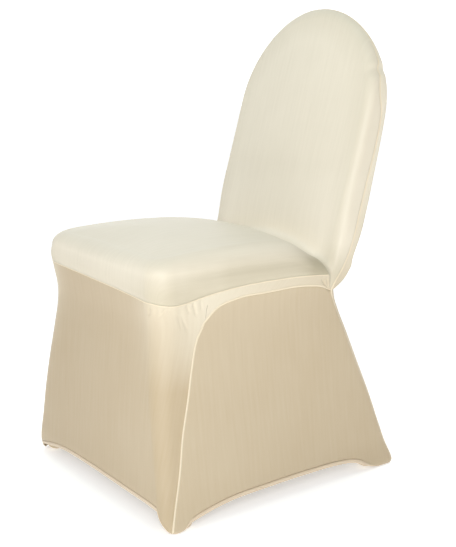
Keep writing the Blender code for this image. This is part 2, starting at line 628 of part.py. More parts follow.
def add_foot_pocket(name, pocket, side, collection):
    """A closed pocket for a foot: a block drawn to the slant of the leg, rounded, opened and given a wall."""
    bpy.ops.mesh.primitive_cube_add(size=1)
    cup = bpy.context.active_object
    cup.name = name
    cup.data.name = name
    for vertex in cup.data.vertices:
        above = vertex.co.z > 0
        width = pocket.rim_width if above else pocket.sole_width
        near_end = 0 if above else pocket.set_back
        far_end = pocket.rim_length if above else pocket.set_back + pocket.sole_length
        vertex.co.x = side * (pocket.outer_x - (0 if vertex.co.x * side > 0 else width))
        end = near_end if vertex.co.y * pocket.facing < 0 else far_end
        vertex.co.y = pocket.corner_y - MIDDLE_Y + pocket.facing * end
        vertex.co.z = POCKET_HEIGHT if above else 0.0
    bpy.ops.object.mode_set(mode="EDIT")
    bpy.ops.mesh.select_mode(type="EDGE")
    bpy.ops.mesh.select_all(action="DESELECT")
    bpy.ops.object.mode_set(mode="OBJECT")
    for edge in cup.data.edges:
        low, high = sorted(cup.data.vertices[i].co.z for i in edge.vertices)
        edge.select = low < high
    bpy.ops.object.mode_set(mode="EDIT")
    bpy.ops.mesh.bevel(offset=POCKET_CORNER, segments=3)
    bpy.ops.mesh.select_all(action="DESELECT")
    bpy.ops.object.mode_set(mode="OBJECT")
    for edge in cup.data.edges:
        edge.select = all(cup.data.vertices[i].co.z < 1e-6 for i in edge.vertices)
    bpy.ops.object.mode_set(mode="EDIT")
    bpy.ops.mesh.bevel(offset=POCKET_SOLE_ROUND, segments=3)
    bpy.ops.mesh.select_mode(type="FACE")
    bpy.ops.mesh.select_all(action="DESELECT")
    bpy.ops.object.mode_set(mode="OBJECT")
    for face in cup.data.polygons:
        face.select = all(cup.data.vertices[i].co.z > POCKET_HEIGHT - 1e-6 for i in face.vertices)
    bpy.ops.object.mode_set(mode="EDIT")
    bpy.ops.mesh.delete(type="FACE")
    bpy.ops.mesh.select_all(action="SELECT")
    bpy.ops.mesh.normals_make_consistent(inside=False)
    bpy.ops.object.mode_set(mode="OBJECT")
    wall = cup.modifiers.new("wall", "SOLIDIFY")
    wall.thickness = POCKET_CLOTH
    wall.offset = -1
    wall.use_even_offset = True
    bpy.ops.object.modifier_apply(modifier=wall.name)
    for vertex in cup.data.vertices:
        vertex.co.z = min(vertex.co.z, POCKET_HEIGHT)
    bpy.ops.object.mode_set(mode="EDIT")
    bpy.ops.mesh.select_all(action="SELECT")
    bpy.ops.mesh.quads_convert_to_tris(quad_method="FIXED", ngon_method="CLIP")
    bpy.ops.object.mode_set(mode="OBJECT")
    cup.data.materials.append(fabric(name, COVER_TINT, 0.5))
    cup.data.shade_smooth()
    cup.data.set_sharp_from_angle(angle=math.radians(50))
    for holder in list(cup.users_collection):
        holder.objects.unlink(cup)
    collection.objects.link(cup)


def main():
    for item in list(bpy.data.objects):
        bpy.data.objects.remove(item)
    collection = bpy.data.collections.new("banquet chair cover")
    bpy.context.scene.collection.children.link(collection)
    panels = cover_panels()
    lookup = cover_normals(panels)
    for name, patches in panels.items():
        points, faces = cloth_panel(patches, lookup)
        tint = SEAT_TINT if name == "seat_and_inside_back" else COVER_TINT
        add_panel(name, points, faces, tint, collection)
    for pocket in POCKETS:
        for side, word in ((1, "right"), (-1, "left")):
            add_foot_pocket(f"foot_pocket_{pocket.name}_{word}", pocket, side, collection)


main()
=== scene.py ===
"""Fitted stretch-knit cover for a banquet chair: each panel is a sheet of cloth, with its seams and hems."""
import math
from collections import namedtuple

import bpy
import numpy as np
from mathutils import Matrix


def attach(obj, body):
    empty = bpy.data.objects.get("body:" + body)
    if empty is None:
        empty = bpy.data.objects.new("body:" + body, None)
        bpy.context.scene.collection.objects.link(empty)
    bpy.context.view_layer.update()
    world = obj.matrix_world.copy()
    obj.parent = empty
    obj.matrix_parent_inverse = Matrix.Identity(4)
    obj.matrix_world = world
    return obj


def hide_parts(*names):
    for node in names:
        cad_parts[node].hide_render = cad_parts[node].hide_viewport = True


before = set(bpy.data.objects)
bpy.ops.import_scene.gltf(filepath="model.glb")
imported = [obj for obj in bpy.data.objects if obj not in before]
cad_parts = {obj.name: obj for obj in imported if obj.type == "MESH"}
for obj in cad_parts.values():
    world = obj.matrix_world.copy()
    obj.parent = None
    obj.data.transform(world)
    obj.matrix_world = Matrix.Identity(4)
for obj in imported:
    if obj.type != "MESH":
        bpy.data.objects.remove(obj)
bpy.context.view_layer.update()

# The front skirt is one piece of champagne stretch knit that wraps the front and both corners and runs back
# as a narrowing strip below the seat. It is cut narrower than the chair and pulled tight, with soft puckers
# below the near corner of the seat and a rolled hem that drops to the floor round the toes.
MIDDLE_Y = 0.04725         # the drawing's y at the middle of the cover's length, which becomes y = 0
SEAT_HALF = 0.2125         # half the width over the pad's sides

# Skirt, by height: front face, front half width, corner radius, rear half width, rear face beside the
# seam, radius of the rear corner, and how far the middle of the rear swells behind its sides
Level = namedtuple("Level", "z front_y front_half corner rear_half rear_y rear_round rear_swell")
SKIRT = [
    Level(0.0000, -0.2150, 0.2530, 0.0120, 0.2400, 0.3215, 0.0090, 0.000),
    Level(0.0060, -0.2205, 0.2545, 0.0145, 0.2410, 0.3260, 0.0105, 0.000),
    Level(0.0140, -0.2250, 0.2535, 0.0170, 0.2395, 0.3260, 0.0120, 0.000),
    Level(0.0228, -0.2285, 0.2515, 0.0185, 0.2370, 0.3240, 0.0135, 0.000),
    Level(0.0400, -0.2305, 0.2480, 0.0200, 0.2325, 0.3175, 0.0140, 0.001),
    Level(0.0830, -0.2288, 0.2410, 0.0235, 0.2270, 0.3020, 0.0145, 0.003),
    Level(0.1530, -0.2260, 0.2300, 0.0270, 0.2205, 0.2765, 0.0150, 0.008),
    Level(0.2220, -0.2215, 0.2185, 0.0310, 0.2135, 0.2485, 0.0150, 0.014),
    Level(0.2880, -0.2145, 0.2095, 0.0350, 0.2070, 0.2210, 0.0130, 0.022),
    Level(0.3310, -0.2105, 0.2050, 0.0380, 0.2025, 0.2015, 0.0100, 0.031),
    Level(0.3560, -0.2100, 0.2040, 0.0390, 0.2010, 0.1915, 0.0080, 0.038),
    Level(0.3720, -0.2115, 0.2050, 0.0400, 0.2010, 0.1890, 0.0060, 0.043),
    Level(0.3900, -0.2140, 0.2075, 0.0400, 0.2035, 0.1870, 0.0060, 0.043),
    Level(0.4150, -0.2175, 0.2110, 0.0400, 0.2090, 0.1850, 0.0060, 0.043),
]

# Hem: how high it hangs along the front by share of the way from the middle to the corner, and round the
# corner by share of the way to the side panel. It drops more gently on the left of the front.
Hem = namedtuple("Hem", "at z")
HEM_FRONT = {
    1: [Hem(0.00, 0.0400), Hem(0.60, 0.0400), Hem(0.92, 0.0396), Hem(1.00, 0.0385)],
    -1: [Hem(0.00, 0.0400), Hem(0.30, 0.0388), Hem(0.56, 0.0356), Hem(0.80, 0.0266), Hem(1.00, 0.0150)],
}
HEM_CORNER = {
    1: [Hem(0.00, 0.0385), Hem(0.05, 0.0280), Hem(0.10, 0.0190), Hem(0.17, 0.0110), Hem(0.26, 0.0055),
        Hem(0.38, 0.0025), Hem(0.55, 0.0015), Hem(1.00, 0.0015)],
    -1: [Hem(0.00, 0.0150), Hem(0.10, 0.0122), Hem(0.25, 0.0075), Hem(0.40, 0.0040), Hem(0.60, 0.0020),
         Hem(0.80, 0.0015), Hem(1.00, 0.0015)],
}
HEM_LOW = 0.0015           # height of the hem under the feet
HEM_BAND = 0.0075          # height of the rolled band
STITCH_RISE = 0.00825      # height of its stitching over its foot
STITCH_GROOVE = 0.0008     # how deep the stitching draws the cloth in
STITCH_REACH = 0.0022      # and how far above and below it that shows

# Seam between seat and skirt: its height by place along the side
SeamPoint = namedtuple("SeamPoint", "y z")
SEAT_SEAM = [
    SeamPoint(-0.2300, 0.4000), SeamPoint(-0.2000, 0.3965), SeamPoint(-0.1600, 0.3975),
    SeamPoint(-0.1100, 0.4040), SeamPoint(-0.0500, 0.4085), SeamPoint(0.0300, 0.4105),
    SeamPoint(0.1200, 0.4080), SeamPoint(0.1740, 0.4030),
]
FRONT_EDGE_Y = -0.2200     # front of the seat
SEAM_FRONT_Z = 0.4070      # height of the seam at the middle of the front
SEAM_TILT = 0.0060         # it runs this much lower at the right-hand corner and higher at the left
SEAM_FAR_LIFT = 0.0090     # and this much higher again at the very corner on the left
TILT_Y = -0.2100           # both fade away rearward from here
TILT_REACH = 0.2000        # over this length

# Seam round the side panel: up the front corner by height, then back along the arch by place to the pinch
LegSeam = namedtuple("LegSeam", "z along")
LEG_SEAM = [
    LegSeam(0.0000, -0.2150), LegSeam(0.0134, -0.2138), LegSeam(0.0303, -0.2094), LegSeam(0.0511, -0.2034),
    LegSeam(0.0755, -0.1965), LegSeam(0.1050, -0.1890), LegSeam(0.1590, -0.1780), LegSeam(0.2235, -0.1585),
    LegSeam(0.2800, -0.1440), LegSeam(0.3240, -0.1300), LegSeam(0.3530, -0.1130), LegSeam(0.4000, -0.1060),
]
ARCH_SEAM = [
    SeamPoint(-0.1130, 0.3530), SeamPoint(-0.0870, 0.3745), SeamPoint(-0.0440, 0.3870),
    SeamPoint(0.0240, 0.3895), SeamPoint(0.1280, 0.3880), SeamPoint(0.1600, 0.3820),
    SeamPoint(0.1830, 0.3720),
]
SIDE_HOLLOW = 0.0040       # how far the stretched sides draw in
HOLLOW_Z = 0.2000          # height where they draw in most
HOLLOW_REACH = 0.2500      # and how far above and below that they do
SIDE_PLACES = [0, 0.03, 0.06, 0.09, 0.13, 0.20, 0.32, 0.46, 0.60, 0.72, 0.80, 0.86, 0.91, 0.955, 1]

# Soft folds below the seat at the right-hand front corner and their fainter match on the left: place along
# the skirt from the corner, height of the top and the bottom, width, and depth (a minus is a ridge)
Fold = namedtuple("Fold", "side along top bottom width depth")
FOLDS = [
    Fold(1, -0.1830, 0.402, 0.330, 0.016, 0.0030),
    Fold(1, -0.1640, 0.402, 0.345, 0.013, 0.0026),
    Fold(1, -0.1450, 0.400, 0.300, 0.020, 0.0020),
    Fold(1, -0.2150, 0.398, 0.340, 0.018, -0.0014),
    Fold(-1, -0.1900, 0.405, 0.335, 0.022, 0.0018),
    Fold(-1, -0.1600, 0.403, 0.350, 0.016, 0.0014),
]

# Sharper puckers, gathered into the seat's seam at the front corners and into the pinch: where each starts
# and ends along the skirt and in height, its half width and its depth
Pucker = namedtuple("Pucker", "side top_along top_z foot_along foot_z width depth")
PUCKERS = [
    Pucker(1, -0.2230, 0.3960, -0.2222, 0.3740, 0.0038, 0.0017),
    Pucker(1, -0.2080, 0.3960, -0.2095, 0.3760, 0.0036, 0.0013),
    Pucker(1, -0.1889, 0.3960, -0.2020, 0.3715, 0.0038, 0.0019),
    Pucker(1, -0.1560, 0.4030, -0.1450, 0.3740, 0.0044, 0.0024),
    Pucker(1, -0.1400, 0.4030, -0.1300, 0.3680, 0.0046, 0.0027),
    Pucker(1, -0.1240, 0.4050, -0.1190, 0.3760, 0.0042, 0.0017),
    Pucker(1, -0.1686, 0.3760, -0.1600, 0.3460, 0.0050, 0.0014),
    Pucker(1, -0.1644, 0.3790, -0.1435, 0.3330, 0.0065, 0.0014),
    Pucker(1, 0.1540, 0.4010, 0.1790, 0.3700, 0.0046, 0.0036),
    Pucker(1, 0.1670, 0.4000, 0.1805, 0.3710, 0.0040, 0.0034),
    Pucker(1, 0.1780, 0.4010, 0.1815, 0.3730, 0.0034, 0.0022),
    Pucker(-1, -0.1950, 0.4020, -0.1880, 0.3740, 0.0040, 0.0013),
    Pucker(-1, -0.1620, 0.4060, -0.1500, 0.3760, 0.0045, 0.0016),
    Pucker(-1, -0.1300, 0.4060, -0.1210, 0.3790, 0.0040, 0.0014),
    Pucker(-1, 0.1600, 0.4010, 0.1800, 0.3710, 0.0036, 0.0013),
    Pucker(-1, 0.1740, 0.4000, 0.1810, 0.3710, 0.0034, 0.0012),
]
FOLD_FADE = 0.0050         # folds and puckers fade in over this distance below the seam

# Steps of the grids of cloth, and how they crowd towards an edge
LEG_ROWS = 120             # hem to the spring of the arch
STRIP_ROWS = 20            # strip between the arch and the seat
FRONT_COLUMNS = 56         # front of the skirt, middle to corner
CORNER_COLUMNS = 80        # corner, to the side panel's seam
SIDE_COLUMNS = 110         # side, front corner to rear corner
HEM_CROWDING = 1.6         # rows crowd this much towards the hem
FRONT_CROWDING = 1.5       # columns of the front towards its corners
CORNER_CROWDING = 1.2      # and those of a corner towards the front

KNIT_WALL = 0.0012         # thickness that the cloth is drawn with
WELD = 0.00002             # points of two grids this close are one

# Champagne knit: its light colour serves slack cloth and painted highlight, its dark one cloth pulled tight
# and painted shade; a value of 0 shows the first colour, and 1 the second
CHAMPAGNE_SLACK_LIT = (0.800, 0.745, 0.610)
CHAMPAGNE_TAUT_SHADED = (0.475, 0.368, 0.228)
MOTTLE = 0.055             # how far streaks in the yarn shift the tightness either way
FRONT_PULL = 0.86          # tightness of the flat front
LEFT_SHADE = 0.11           # painted shade: how much darker its left is
FOOT_SHADE = 0.02           # and painted shade on its corners near the floor
SEAM_HIGHLIGHT = 0.38           # painted highlight: how much lighter the near corner is below the seat's seam
BESIDE_HIGHLIGHT = 0.20         # and more painted highlight beside the corner
LEG_HIGHLIGHT = 0.44            # and painted highlight where the skirt narrows towards the arch
STRIP_PULL = 0.44          # tightness of the strip at its middle
STRIP_REAR_SHADE = 0.13          # how much tighter and darker it gets towards the pinch, partly painted shade


def smooth(table, key, value, at):
    """Smooth value of one column of a table at places in its key column."""
    keys = np.array([getattr(row, key) for row in table])
    values = np.array([getattr(row, value) for row in table])
    slopes = np.gradient(values, keys)
    at = np.clip(at, keys[0], keys[-1])
    place = np.clip(np.searchsorted(keys, at) - 1, 0, len(keys) - 2)
    width = keys[place + 1] - keys[place]
    part = (at - keys[place]) / width
    start = values[place] * (1 + 2 * part) * (1 - part) ** 2 + slopes[place] * width * part * (1 - part) ** 2
    end = values[place + 1] * part ** 2 * (3 - 2 * part) - slopes[place + 1] * width * part ** 2 * (1 - part)
    return start + end


def bump(distance):
    """Soft hill: 1 at 0, falling to 0 at 1 with no edge."""
    return np.where(np.abs(distance) < 1, np.cos(np.clip(distance, -1, 1) * math.pi / 2) ** 2, 0.0)


def part_way(value, start, end):
    """How far a value is on its way from start to end, from 0 to 1."""
    return np.clip((value - start) / (end - start), 0, 1)


def eased(share):
    """A share from 0 to 1 with a soft start and end."""
    return share ** 2 * (3 - 2 * share)


def fold_depth(side, along, z):
    """How far the folds and puckers at this place draw the skirt in."""
    depth = 0.0
    for fold in FOLDS:
        if fold.side == side:
            down = np.clip((fold.top - z) / (fold.top - fold.bottom), 0, 1)
            fade = np.minimum(1, down * 6) * (1 - down) ** 1.5
            depth = depth + fold.depth * fade * bump((along - fold.along) / fold.width)
    for pucker in PUCKERS:
        if pucker.side == side:
            run = pucker.foot_along - pucker.top_along
            drop = pucker.foot_z - pucker.top_z
            down = ((along - pucker.top_along) * run + (z - pucker.top_z) * drop) / (run ** 2 + drop ** 2)
            down = np.clip(down, 0, 1)
            away = np.hypot(along - pucker.top_along - run * down, z - pucker.top_z - drop * down)
            depth = depth + pucker.depth * np.sqrt(4 * down * (1 - down)) * bump(away / pucker.width)
    below_seam = smooth(SEAT_SEAM, "y", "z", along) - SEAM_TILT - z
    return depth * np.clip(below_seam / FOLD_FADE, 0, 1)


def hem_groove(z, low):
    """How deep the stitching draws the cloth in just above the rolled hem, less towards the toes."""
    off_floor = part_way(low, 0.006, 0.018)
    return STITCH_GROOVE * bump((z - low - STITCH_RISE) / STITCH_REACH) * off_floor


def skirt_side(side, along, z, groove=0.0):
    """Point of the skirt from the front corner to the rear one; along is y, unrolled round the corners."""
    front_y = smooth(SKIRT, "z", "front_y", z)
    front_half = smooth(SKIRT, "z", "front_half", z)
    corner = smooth(SKIRT, "z", "corner", z)
    rear_half = smooth(SKIRT, "z", "rear_half", z)
    rear_y = smooth(SKIRT, "z", "rear_y", z)
    rear_round = smooth(SKIRT, "z", "rear_round", z)
    start = front_y + corner
    end = rear_y - rear_round
    depth = fold_depth(side, along, z) + groove
    part = np.clip((along - start) / (end - start), 0, 1)
    hollow = SIDE_HOLLOW * np.sin(part * math.pi) ** 2 * bump((z - HOLLOW_Z) / HOLLOW_REACH)
    x = front_half + (rear_half - front_half) * part - hollow - depth
    y = np.clip(along, start, end)
    turn_front = np.clip((start - along) / corner, 0, math.pi / 2)
    turn_rear = np.clip((along - end) / rear_round, 0, math.pi / 2)
    x = x - corner * (1 - np.cos(turn_front)) - rear_round * (1 - np.cos(turn_rear))
    x = x + depth * (1 - np.cos(turn_front))
    y = y - (corner - depth) * np.sin(turn_front) + rear_round * np.sin(turn_rear)
    return np.stack([side * x, y, z + 0 * x], axis=-1)


def corner_start(z):
    """Place along the skirt where its front face meets the corner's rounding."""
    return smooth(SKIRT, "z", "front_y", z) + smooth(SKIRT, "z", "corner", z) * (1 - math.pi / 2)


def seam_height(side, y, x):
    """Height of the seam between the seat and the skirt."""
    on_side = smooth(SEAT_SEAM, "y", "z", y)
    outward = np.clip(np.abs(x) / SEAT_HALF, 0, 1)
    height = SEAM_FRONT_Z + (on_side - SEAM_FRONT_Z) * outward ** 3
    near_front = bump(np.clip((y - TILT_Y) / TILT_REACH, 0, 1))
    far_lift = SEAM_FAR_LIFT * outward ** 4 if side == -1 else 0
    return height - side * SEAM_TILT * outward * near_front + far_lift * near_front


def row_shares(edge_top):
    """How far up the skirt its rows lie, from the hem to the seat, where its edge is that high."""
    leg = HEM_LOW + (ARCH_SEAM[0].z - HEM_LOW) * np.linspace(0, 1, LEG_ROWS + 1) ** HEM_CROWDING
    strip = np.linspace(ARCH_SEAM[0].z, edge_top, STRIP_ROWS + 1)[1:]
    return (np.concatenate([leg, strip]) - HEM_LOW) / (edge_top - HEM_LOW)


def front_skirt(side):
    """Half of the front skirt, from the middle of the front round the corner to the side panel's seam."""
    edge_along = LEG_SEAM[-1].along
    edge_top = float(seam_height(side, edge_along, SEAT_HALF))
    columns = np.arange(FRONT_COLUMNS + CORNER_COLUMNS + 1) / (FRONT_COLUMNS + CORNER_COLUMNS)
    level = row_shares(float(seam_height(0, edge_along, SEAT_HALF)))[:, None]
    share = level + (row_shares(edge_top)[:, None] - level) * columns
    across = 1 - (1 - np.arange(FRONT_COLUMNS) / FRONT_COLUMNS) ** FRONT_CROWDING
    half_top = float(smooth(SKIRT, "z", "front_half", edge_top) - smooth(SKIRT, "z", "corner", edge_top))
    low = smooth(HEM_FRONT[side], "at", "z", across)
    z = low + (seam_height(side, FRONT_EDGE_Y, half_top * across) - low) * share[:, :FRONT_COLUMNS]
    half = smooth(SKIRT, "z", "front_half", z) - smooth(SKIRT, "z", "corner", z)
    drawn_in = fold_depth(side, corner_start(z) - half * (1 - across), z) + hem_groove(z, low)
    front = np.stack([side * half * across, smooth(SKIRT, "z", "front_y", z) + drawn_in, z], axis=-1)
    turn = (np.arange(CORNER_COLUMNS + 1) / CORNER_COLUMNS) ** CORNER_CROWDING
    along = float(corner_start(edge_top)) + (edge_along - float(corner_start(edge_top))) * turn
    width = half_top + (SEAT_HALF - half_top) * np.minimum(1, 2 * turn)
    top = seam_height(side, np.maximum(along, FRONT_EDGE_Y), width)
    low = smooth(HEM_CORNER[side], "at", "z", turn)
    z = low + (top - low) * share[:, FRONT_COLUMNS:]
    along = corner_start(z) + (smooth(LEG_SEAM, "z", "along", z) - corner_start(z)) * turn
    return np.concatenate([front, skirt_side(side, along, z, hem_groove(z, low))], axis=1)


def strip_under_seat(side):
    """The strip of the front skirt that runs back between the arch and the seat."""
    top_start = LEG_SEAM[-1].along
    place = np.interp(np.linspace(0, 1, SIDE_COLUMNS + 1), np.linspace(0, 1, len(SIDE_PLACES)), SIDE_PLACES)
    step = np.linspace(0, 1, STRIP_ROWS + 1)[:, None]
    low_y = ARCH_SEAM[0].y + (ARCH_SEAM[-1].y - ARCH_SEAM[0].y) * place
    low_z = smooth(ARCH_SEAM, "y", "z", low_y)
    high_y = top_start + (SEAT_SEAM[-1].y - top_start) * place
    high_z = seam_height(side, high_y, SEAT_HALF)
    z = low_z + (high_z - low_z) * step
    along = low_y + (high_y - low_y) * step
    along[:, 0] = smooth(LEG_SEAM, "z", "along", z[:, 0])
    return skirt_side(side, along, z)


def unevenness(points):
    """The slight unevenness of a cover pulled on by hand: none at the feet, about 1 mm above."""
    x, y, z = np.moveaxis(points, -1, 0)
    fade = np.clip((z - 0.05) / 0.10, 0, 1)
    sway = 0.0010 * np.sin(9 * x + 4 * z + 0.7) + 0.0007 * np.sin(17 * x - 11 * y + 1.9)
    lift = 0.0012 * np.sin(8 * x - 6 * y + 2.2) * np.clip((z - 0.35) / 0.1, 0, 1)
    return np.stack([x, y + fade * sway - MIDDLE_Y, z + fade * lift], axis=-1)


def run_along(points, axis):
    """Length of cloth run along an axis of a grid."""
    steps = np.linalg.norm(np.diff(points, axis=axis), axis=-1)
    pad = [(0, 0), (0, 0)]
    pad[axis] = (1, 0)
    return np.pad(np.cumsum(steps, axis=axis), pad)


def cloth_grid(name, points, grain, stretch_and_shading=0.0):
    """A grid of cloth at the given points, with its grain in metres as UV map and how tight it is pulled, a
    value that also carries painted shade and highlight.
    """
    rows, columns = points.shape[:2]
    bpy.ops.mesh.primitive_grid_add(x_subdivisions=columns - 1, y_subdivisions=rows - 1, size=1)
    piece = bpy.context.active_object
    piece.name = piece.data.name = name
    piece.data.vertices.foreach_set("co", points.reshape(-1).astype(np.float32))
    corners = np.empty(len(piece.data.loops), dtype=np.int32)
    piece.data.loops.foreach_get("vertex_index", corners)
    uv = grain.reshape(-1, 2)[corners].astype(np.float32)
    piece.data.uv_layers[0].uv.foreach_set("vector", uv.reshape(-1))
    piece.data.uv_layers[0].name = "Grain"
    stretch_shading_attribute = piece.data.attributes.new("Stretch and shading", "FLOAT", "POINT")
    stretch_shading_values = np.broadcast_to(stretch_and_shading, (rows, columns)).reshape(-1)
    stretch_shading_attribute.data.foreach_set("value", stretch_shading_values.astype(np.float32))
    piece.select_set(False)
    return piece


def sew(name, parts, middle, wall=0.0):
    """Joins grids into one piece, closed where they meet, facing away from a middle, with a wall inward."""
    bpy.ops.object.select_all(action="DESELECT")
    for part in parts:
        part.select_set(True)
    bpy.context.view_layer.objects.active = parts[0]
    if len(parts) > 1:
        bpy.ops.object.join()
    piece = bpy.context.active_object
    piece.name = piece.data.name = name
    bpy.ops.object.mode_set(mode="EDIT")
    bpy.ops.mesh.select_all(action="SELECT")
    bpy.ops.mesh.remove_doubles(threshold=WELD)
    bpy.ops.mesh.normals_make_consistent(inside=False)
    bpy.ops.object.mode_set(mode="OBJECT")
    centres = np.empty(len(piece.data.polygons) * 3, dtype=np.float32)
    normals = np.empty(len(piece.data.polygons) * 3, dtype=np.float32)
    piece.data.polygons.foreach_get("center", centres)
    piece.data.polygons.foreach_get("normal", normals)
    centres = centres.reshape(-1, 3)
    outward = np.sum(normals.reshape(-1, 3) * (centres - np.array(middle)), axis=1)
    if outward.sum() < 0:
        piece.data.flip_normals()
    if wall:
        thickness = piece.modifiers.new("wall", "SOLIDIFY")
        thickness.thickness = wall
        thickness.offset = -1
        bpy.ops.object.modifier_apply(modifier=thickness.name)
    piece.data.shade_smooth()
    bpy.ops.object.select_all(action="DESELECT")
    return piece


def node(nodes, kind, values):
    """A new shader node with some of its inputs set."""
    added = nodes.new(kind)
    for socket, value in values.items():
        added.inputs[socket].default_value = value
    return added


def knit(name, slack_and_lit_colour, taut_and_shaded_colour, roughness, sheen):
    """Stretch knit: its colour from slack to taut, a ramp that also paints shade and highlight, fine wales,
    faint streaks and a satin sheen.
    """
    material = bpy.data.materials.new(name)
    material.use_nodes = True
    nodes, links = material.node_tree.nodes, material.node_tree.links
    shader = nodes["Principled BSDF"]
    shader.inputs["Roughness"].default_value = roughness
    shader.inputs["Sheen Weight"].default_value = sheen
    shader.inputs["Sheen Roughness"].default_value = 0.45
    shader.inputs["Sheen Tint"].default_value = (1.0, 0.97, 0.92, 1)
    shader.inputs["Specular IOR Level"].default_value = 0.35
    grain = nodes.new("ShaderNodeUVMap")
    grain.uv_map = "Grain"
    stretch = node(nodes, "ShaderNodeMapping", {"Scale": (170, 9, 1)})
    streaks = node(nodes, "ShaderNodeTexNoise", {"Scale": 1.0, "Detail": 3.0})
    links.new(grain.outputs["UV"], stretch.inputs["Vector"])
    links.new(stretch.outputs["Vector"], streaks.inputs["Vector"])
    place = nodes.new("ShaderNodeTexCoord")
    cloud = node(nodes, "ShaderNodeTexNoise", {"Scale": 9.0, "Detail": 3.0})
    links.new(place.outputs["Object"], cloud.inputs["Vector"])
    blend = nodes.new("ShaderNodeMix")
    blend.data_type = "FLOAT"
    blend.inputs["Factor"].default_value = 0.45
    links.new(streaks.outputs["Fac"], blend.inputs["A"])
    links.new(cloud.outputs["Fac"], blend.inputs["B"])
    spread = {"From Min": 0.30, "From Max": 0.70, "To Min": -MOTTLE, "To Max": MOTTLE}
    mottle = node(nodes, "ShaderNodeMapRange", spread)
    links.new(blend.outputs["Result"], mottle.inputs["Value"])
    stretch_shading_attribute = nodes.new("ShaderNodeAttribute")
    stretch_shading_attribute.attribute_name = "Stretch and shading"
    stretch_shading_mottled = nodes.new("ShaderNodeMath")
    stretch_shading_mottled.operation = "ADD"
    links.new(stretch_shading_attribute.outputs["Fac"], stretch_shading_mottled.inputs[0])
    links.new(mottle.outputs["Result"], stretch_shading_mottled.inputs[1])
    # the ramp's colour shows how tight the cloth is, and also painted shade and painted highlight
    ramp = nodes.new("ShaderNodeValToRGB")
    ramp.color_ramp.elements[0].color = (*slack_and_lit_colour, 1)
    ramp.color_ramp.elements[1].color = (*taut_and_shaded_colour, 1)
    links.new(stretch_shading_mottled.outputs["Value"], ramp.inputs["Fac"])
    links.new(ramp.outputs["Color"], shader.inputs["Base Color"])
    wale_scale = node(nodes, "ShaderNodeMapping", {"Scale": (1, 0.55, 1)})
    waviness = {"Scale": 180.0, "Distortion": 1.2, "Detail": 2.0, "Detail Scale": 3.0}
    wales = node(nodes, "ShaderNodeTexWave", waviness)
    wales.wave_type = "BANDS"
    wales.bands_direction = "X"
    links.new(grain.outputs["UV"], wale_scale.inputs["Vector"])
    links.new(wale_scale.outputs["Vector"], wales.inputs["Vector"])
    relief = node(nodes, "ShaderNodeBump", {"Strength": 0.12, "Distance": 0.0004})
    links.new(wales.outputs["Fac"], relief.inputs["Height"])
    links.new(relief.outputs["Normal"], shader.inputs["Normal"])
    return material


def skirt_stretch_and_shading(rows):
    """How tight the skirt is pulled: most on the flat front, least round the corners below the seat; painted
    shade darkens the front's left and the corners near the floor, and a painted highlight lightens the
    corners below the seat.
    """
    x, _, z = np.moveaxis(rows, -1, 0)
    column = np.arange(rows.shape[1]) / FRONT_COLUMNS
    corner = eased(part_way(column, 0.40, 1.30))
    beside = part_way(column, 1.40, 2.40)
    near_seam = part_way(z, 0.24, 0.40) ** 1.1
    high = part_way(z, 0.24, 0.36)
    leftward = part_way(x, 0.18, -0.18)
    # painted shade on the left of the front and on the corners near the floor
    stretch_and_shading = FRONT_PULL + LEFT_SHADE * leftward * (1 - corner) + FOOT_SHADE * corner * (1 - high)
    # painted highlight below the seat at the corners, beside them and towards the arch
    stretch_and_shading -= (SEAM_HIGHLIGHT + BESIDE_HIGHLIGHT * beside) * corner * near_seam
    stretch_and_shading -= LEG_HIGHLIGHT * beside * high * (1 - near_seam)
    return stretch_and_shading


skirt_knit = knit("champagne stretch knit", CHAMPAGNE_SLACK_LIT, CHAMPAGNE_TAUT_SHADED, 0.46, 0.20)
skirts = {side: unevenness(front_skirt(side)) for side in (1, -1)}
strips = {side: unevenness(strip_under_seat(side)) for side in (1, -1)}
parts = []
for side in (1, -1):
    rows = skirts[side]
    grain = np.stack([side * run_along(rows, 1), rows[..., 2]], axis=-1)
    parts.append(cloth_grid("skirt half", rows, grain, skirt_stretch_and_shading(rows)))
    reached = side * run_along(rows, 1)[-1, -1]
    rows = strips[side]
    grain = np.stack([reached + side * run_along(rows, 1), rows[..., 2]], axis=-1)
    # painted shade darkens the strip towards the pinch
    stretch_and_shading = STRIP_PULL + STRIP_REAR_SHADE * np.clip(rows[..., 1] / 0.13, -1, 1)
    parts.append(cloth_grid("skirt strip", rows, grain, stretch_and_shading))
skirt = sew("front_skirt_knit", parts, (0, 0, 0.2), KNIT_WALL)
skirt.data.materials.append(skirt_knit)
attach(skirt, "root")
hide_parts("front_skirt")

# Each side panel is a flat cut of the same knit with an arched top. It is sewn into the arch of the front
# skirt and to the back panel, stretched from toe to toe, with the same rolled hem along its foot.
REAR_SEAM_TURN = math.radians(50)   # the seam to the back panel lies this far round the rear corner
PINCH_REACH = 0.0300       # it swings in from there to the pinch over this height
SIDE_PULL = 0.81           # tightness at the middle of the hem
SIDE_REAR_SHADE = 0.05           # painted shade: how much darker it gets towards the rear
ARCH_LIGHT = 0.03           # and painted light: how much lighter towards the arch
HEM_SIDE = [
    Hem(-0.214, 0.0015), Hem(-0.200, 0.0015), Hem(-0.191, 0.0038), Hem(-0.179, 0.0115), Hem(-0.166, 0.0152),
    Hem(-0.151, 0.0182), Hem(-0.128, 0.0224), Hem(-0.089, 0.0273), Hem(0.000, 0.0300), Hem(0.100, 0.0305),
    Hem(0.181, 0.0282), Hem(0.213, 0.0246), Hem(0.2285, 0.0200), Hem(0.244, 0.0134), Hem(0.261, 0.0070),
    Hem(0.281, 0.0022), Hem(0.297, 0.0015), Hem(0.312, 0.0015),
]


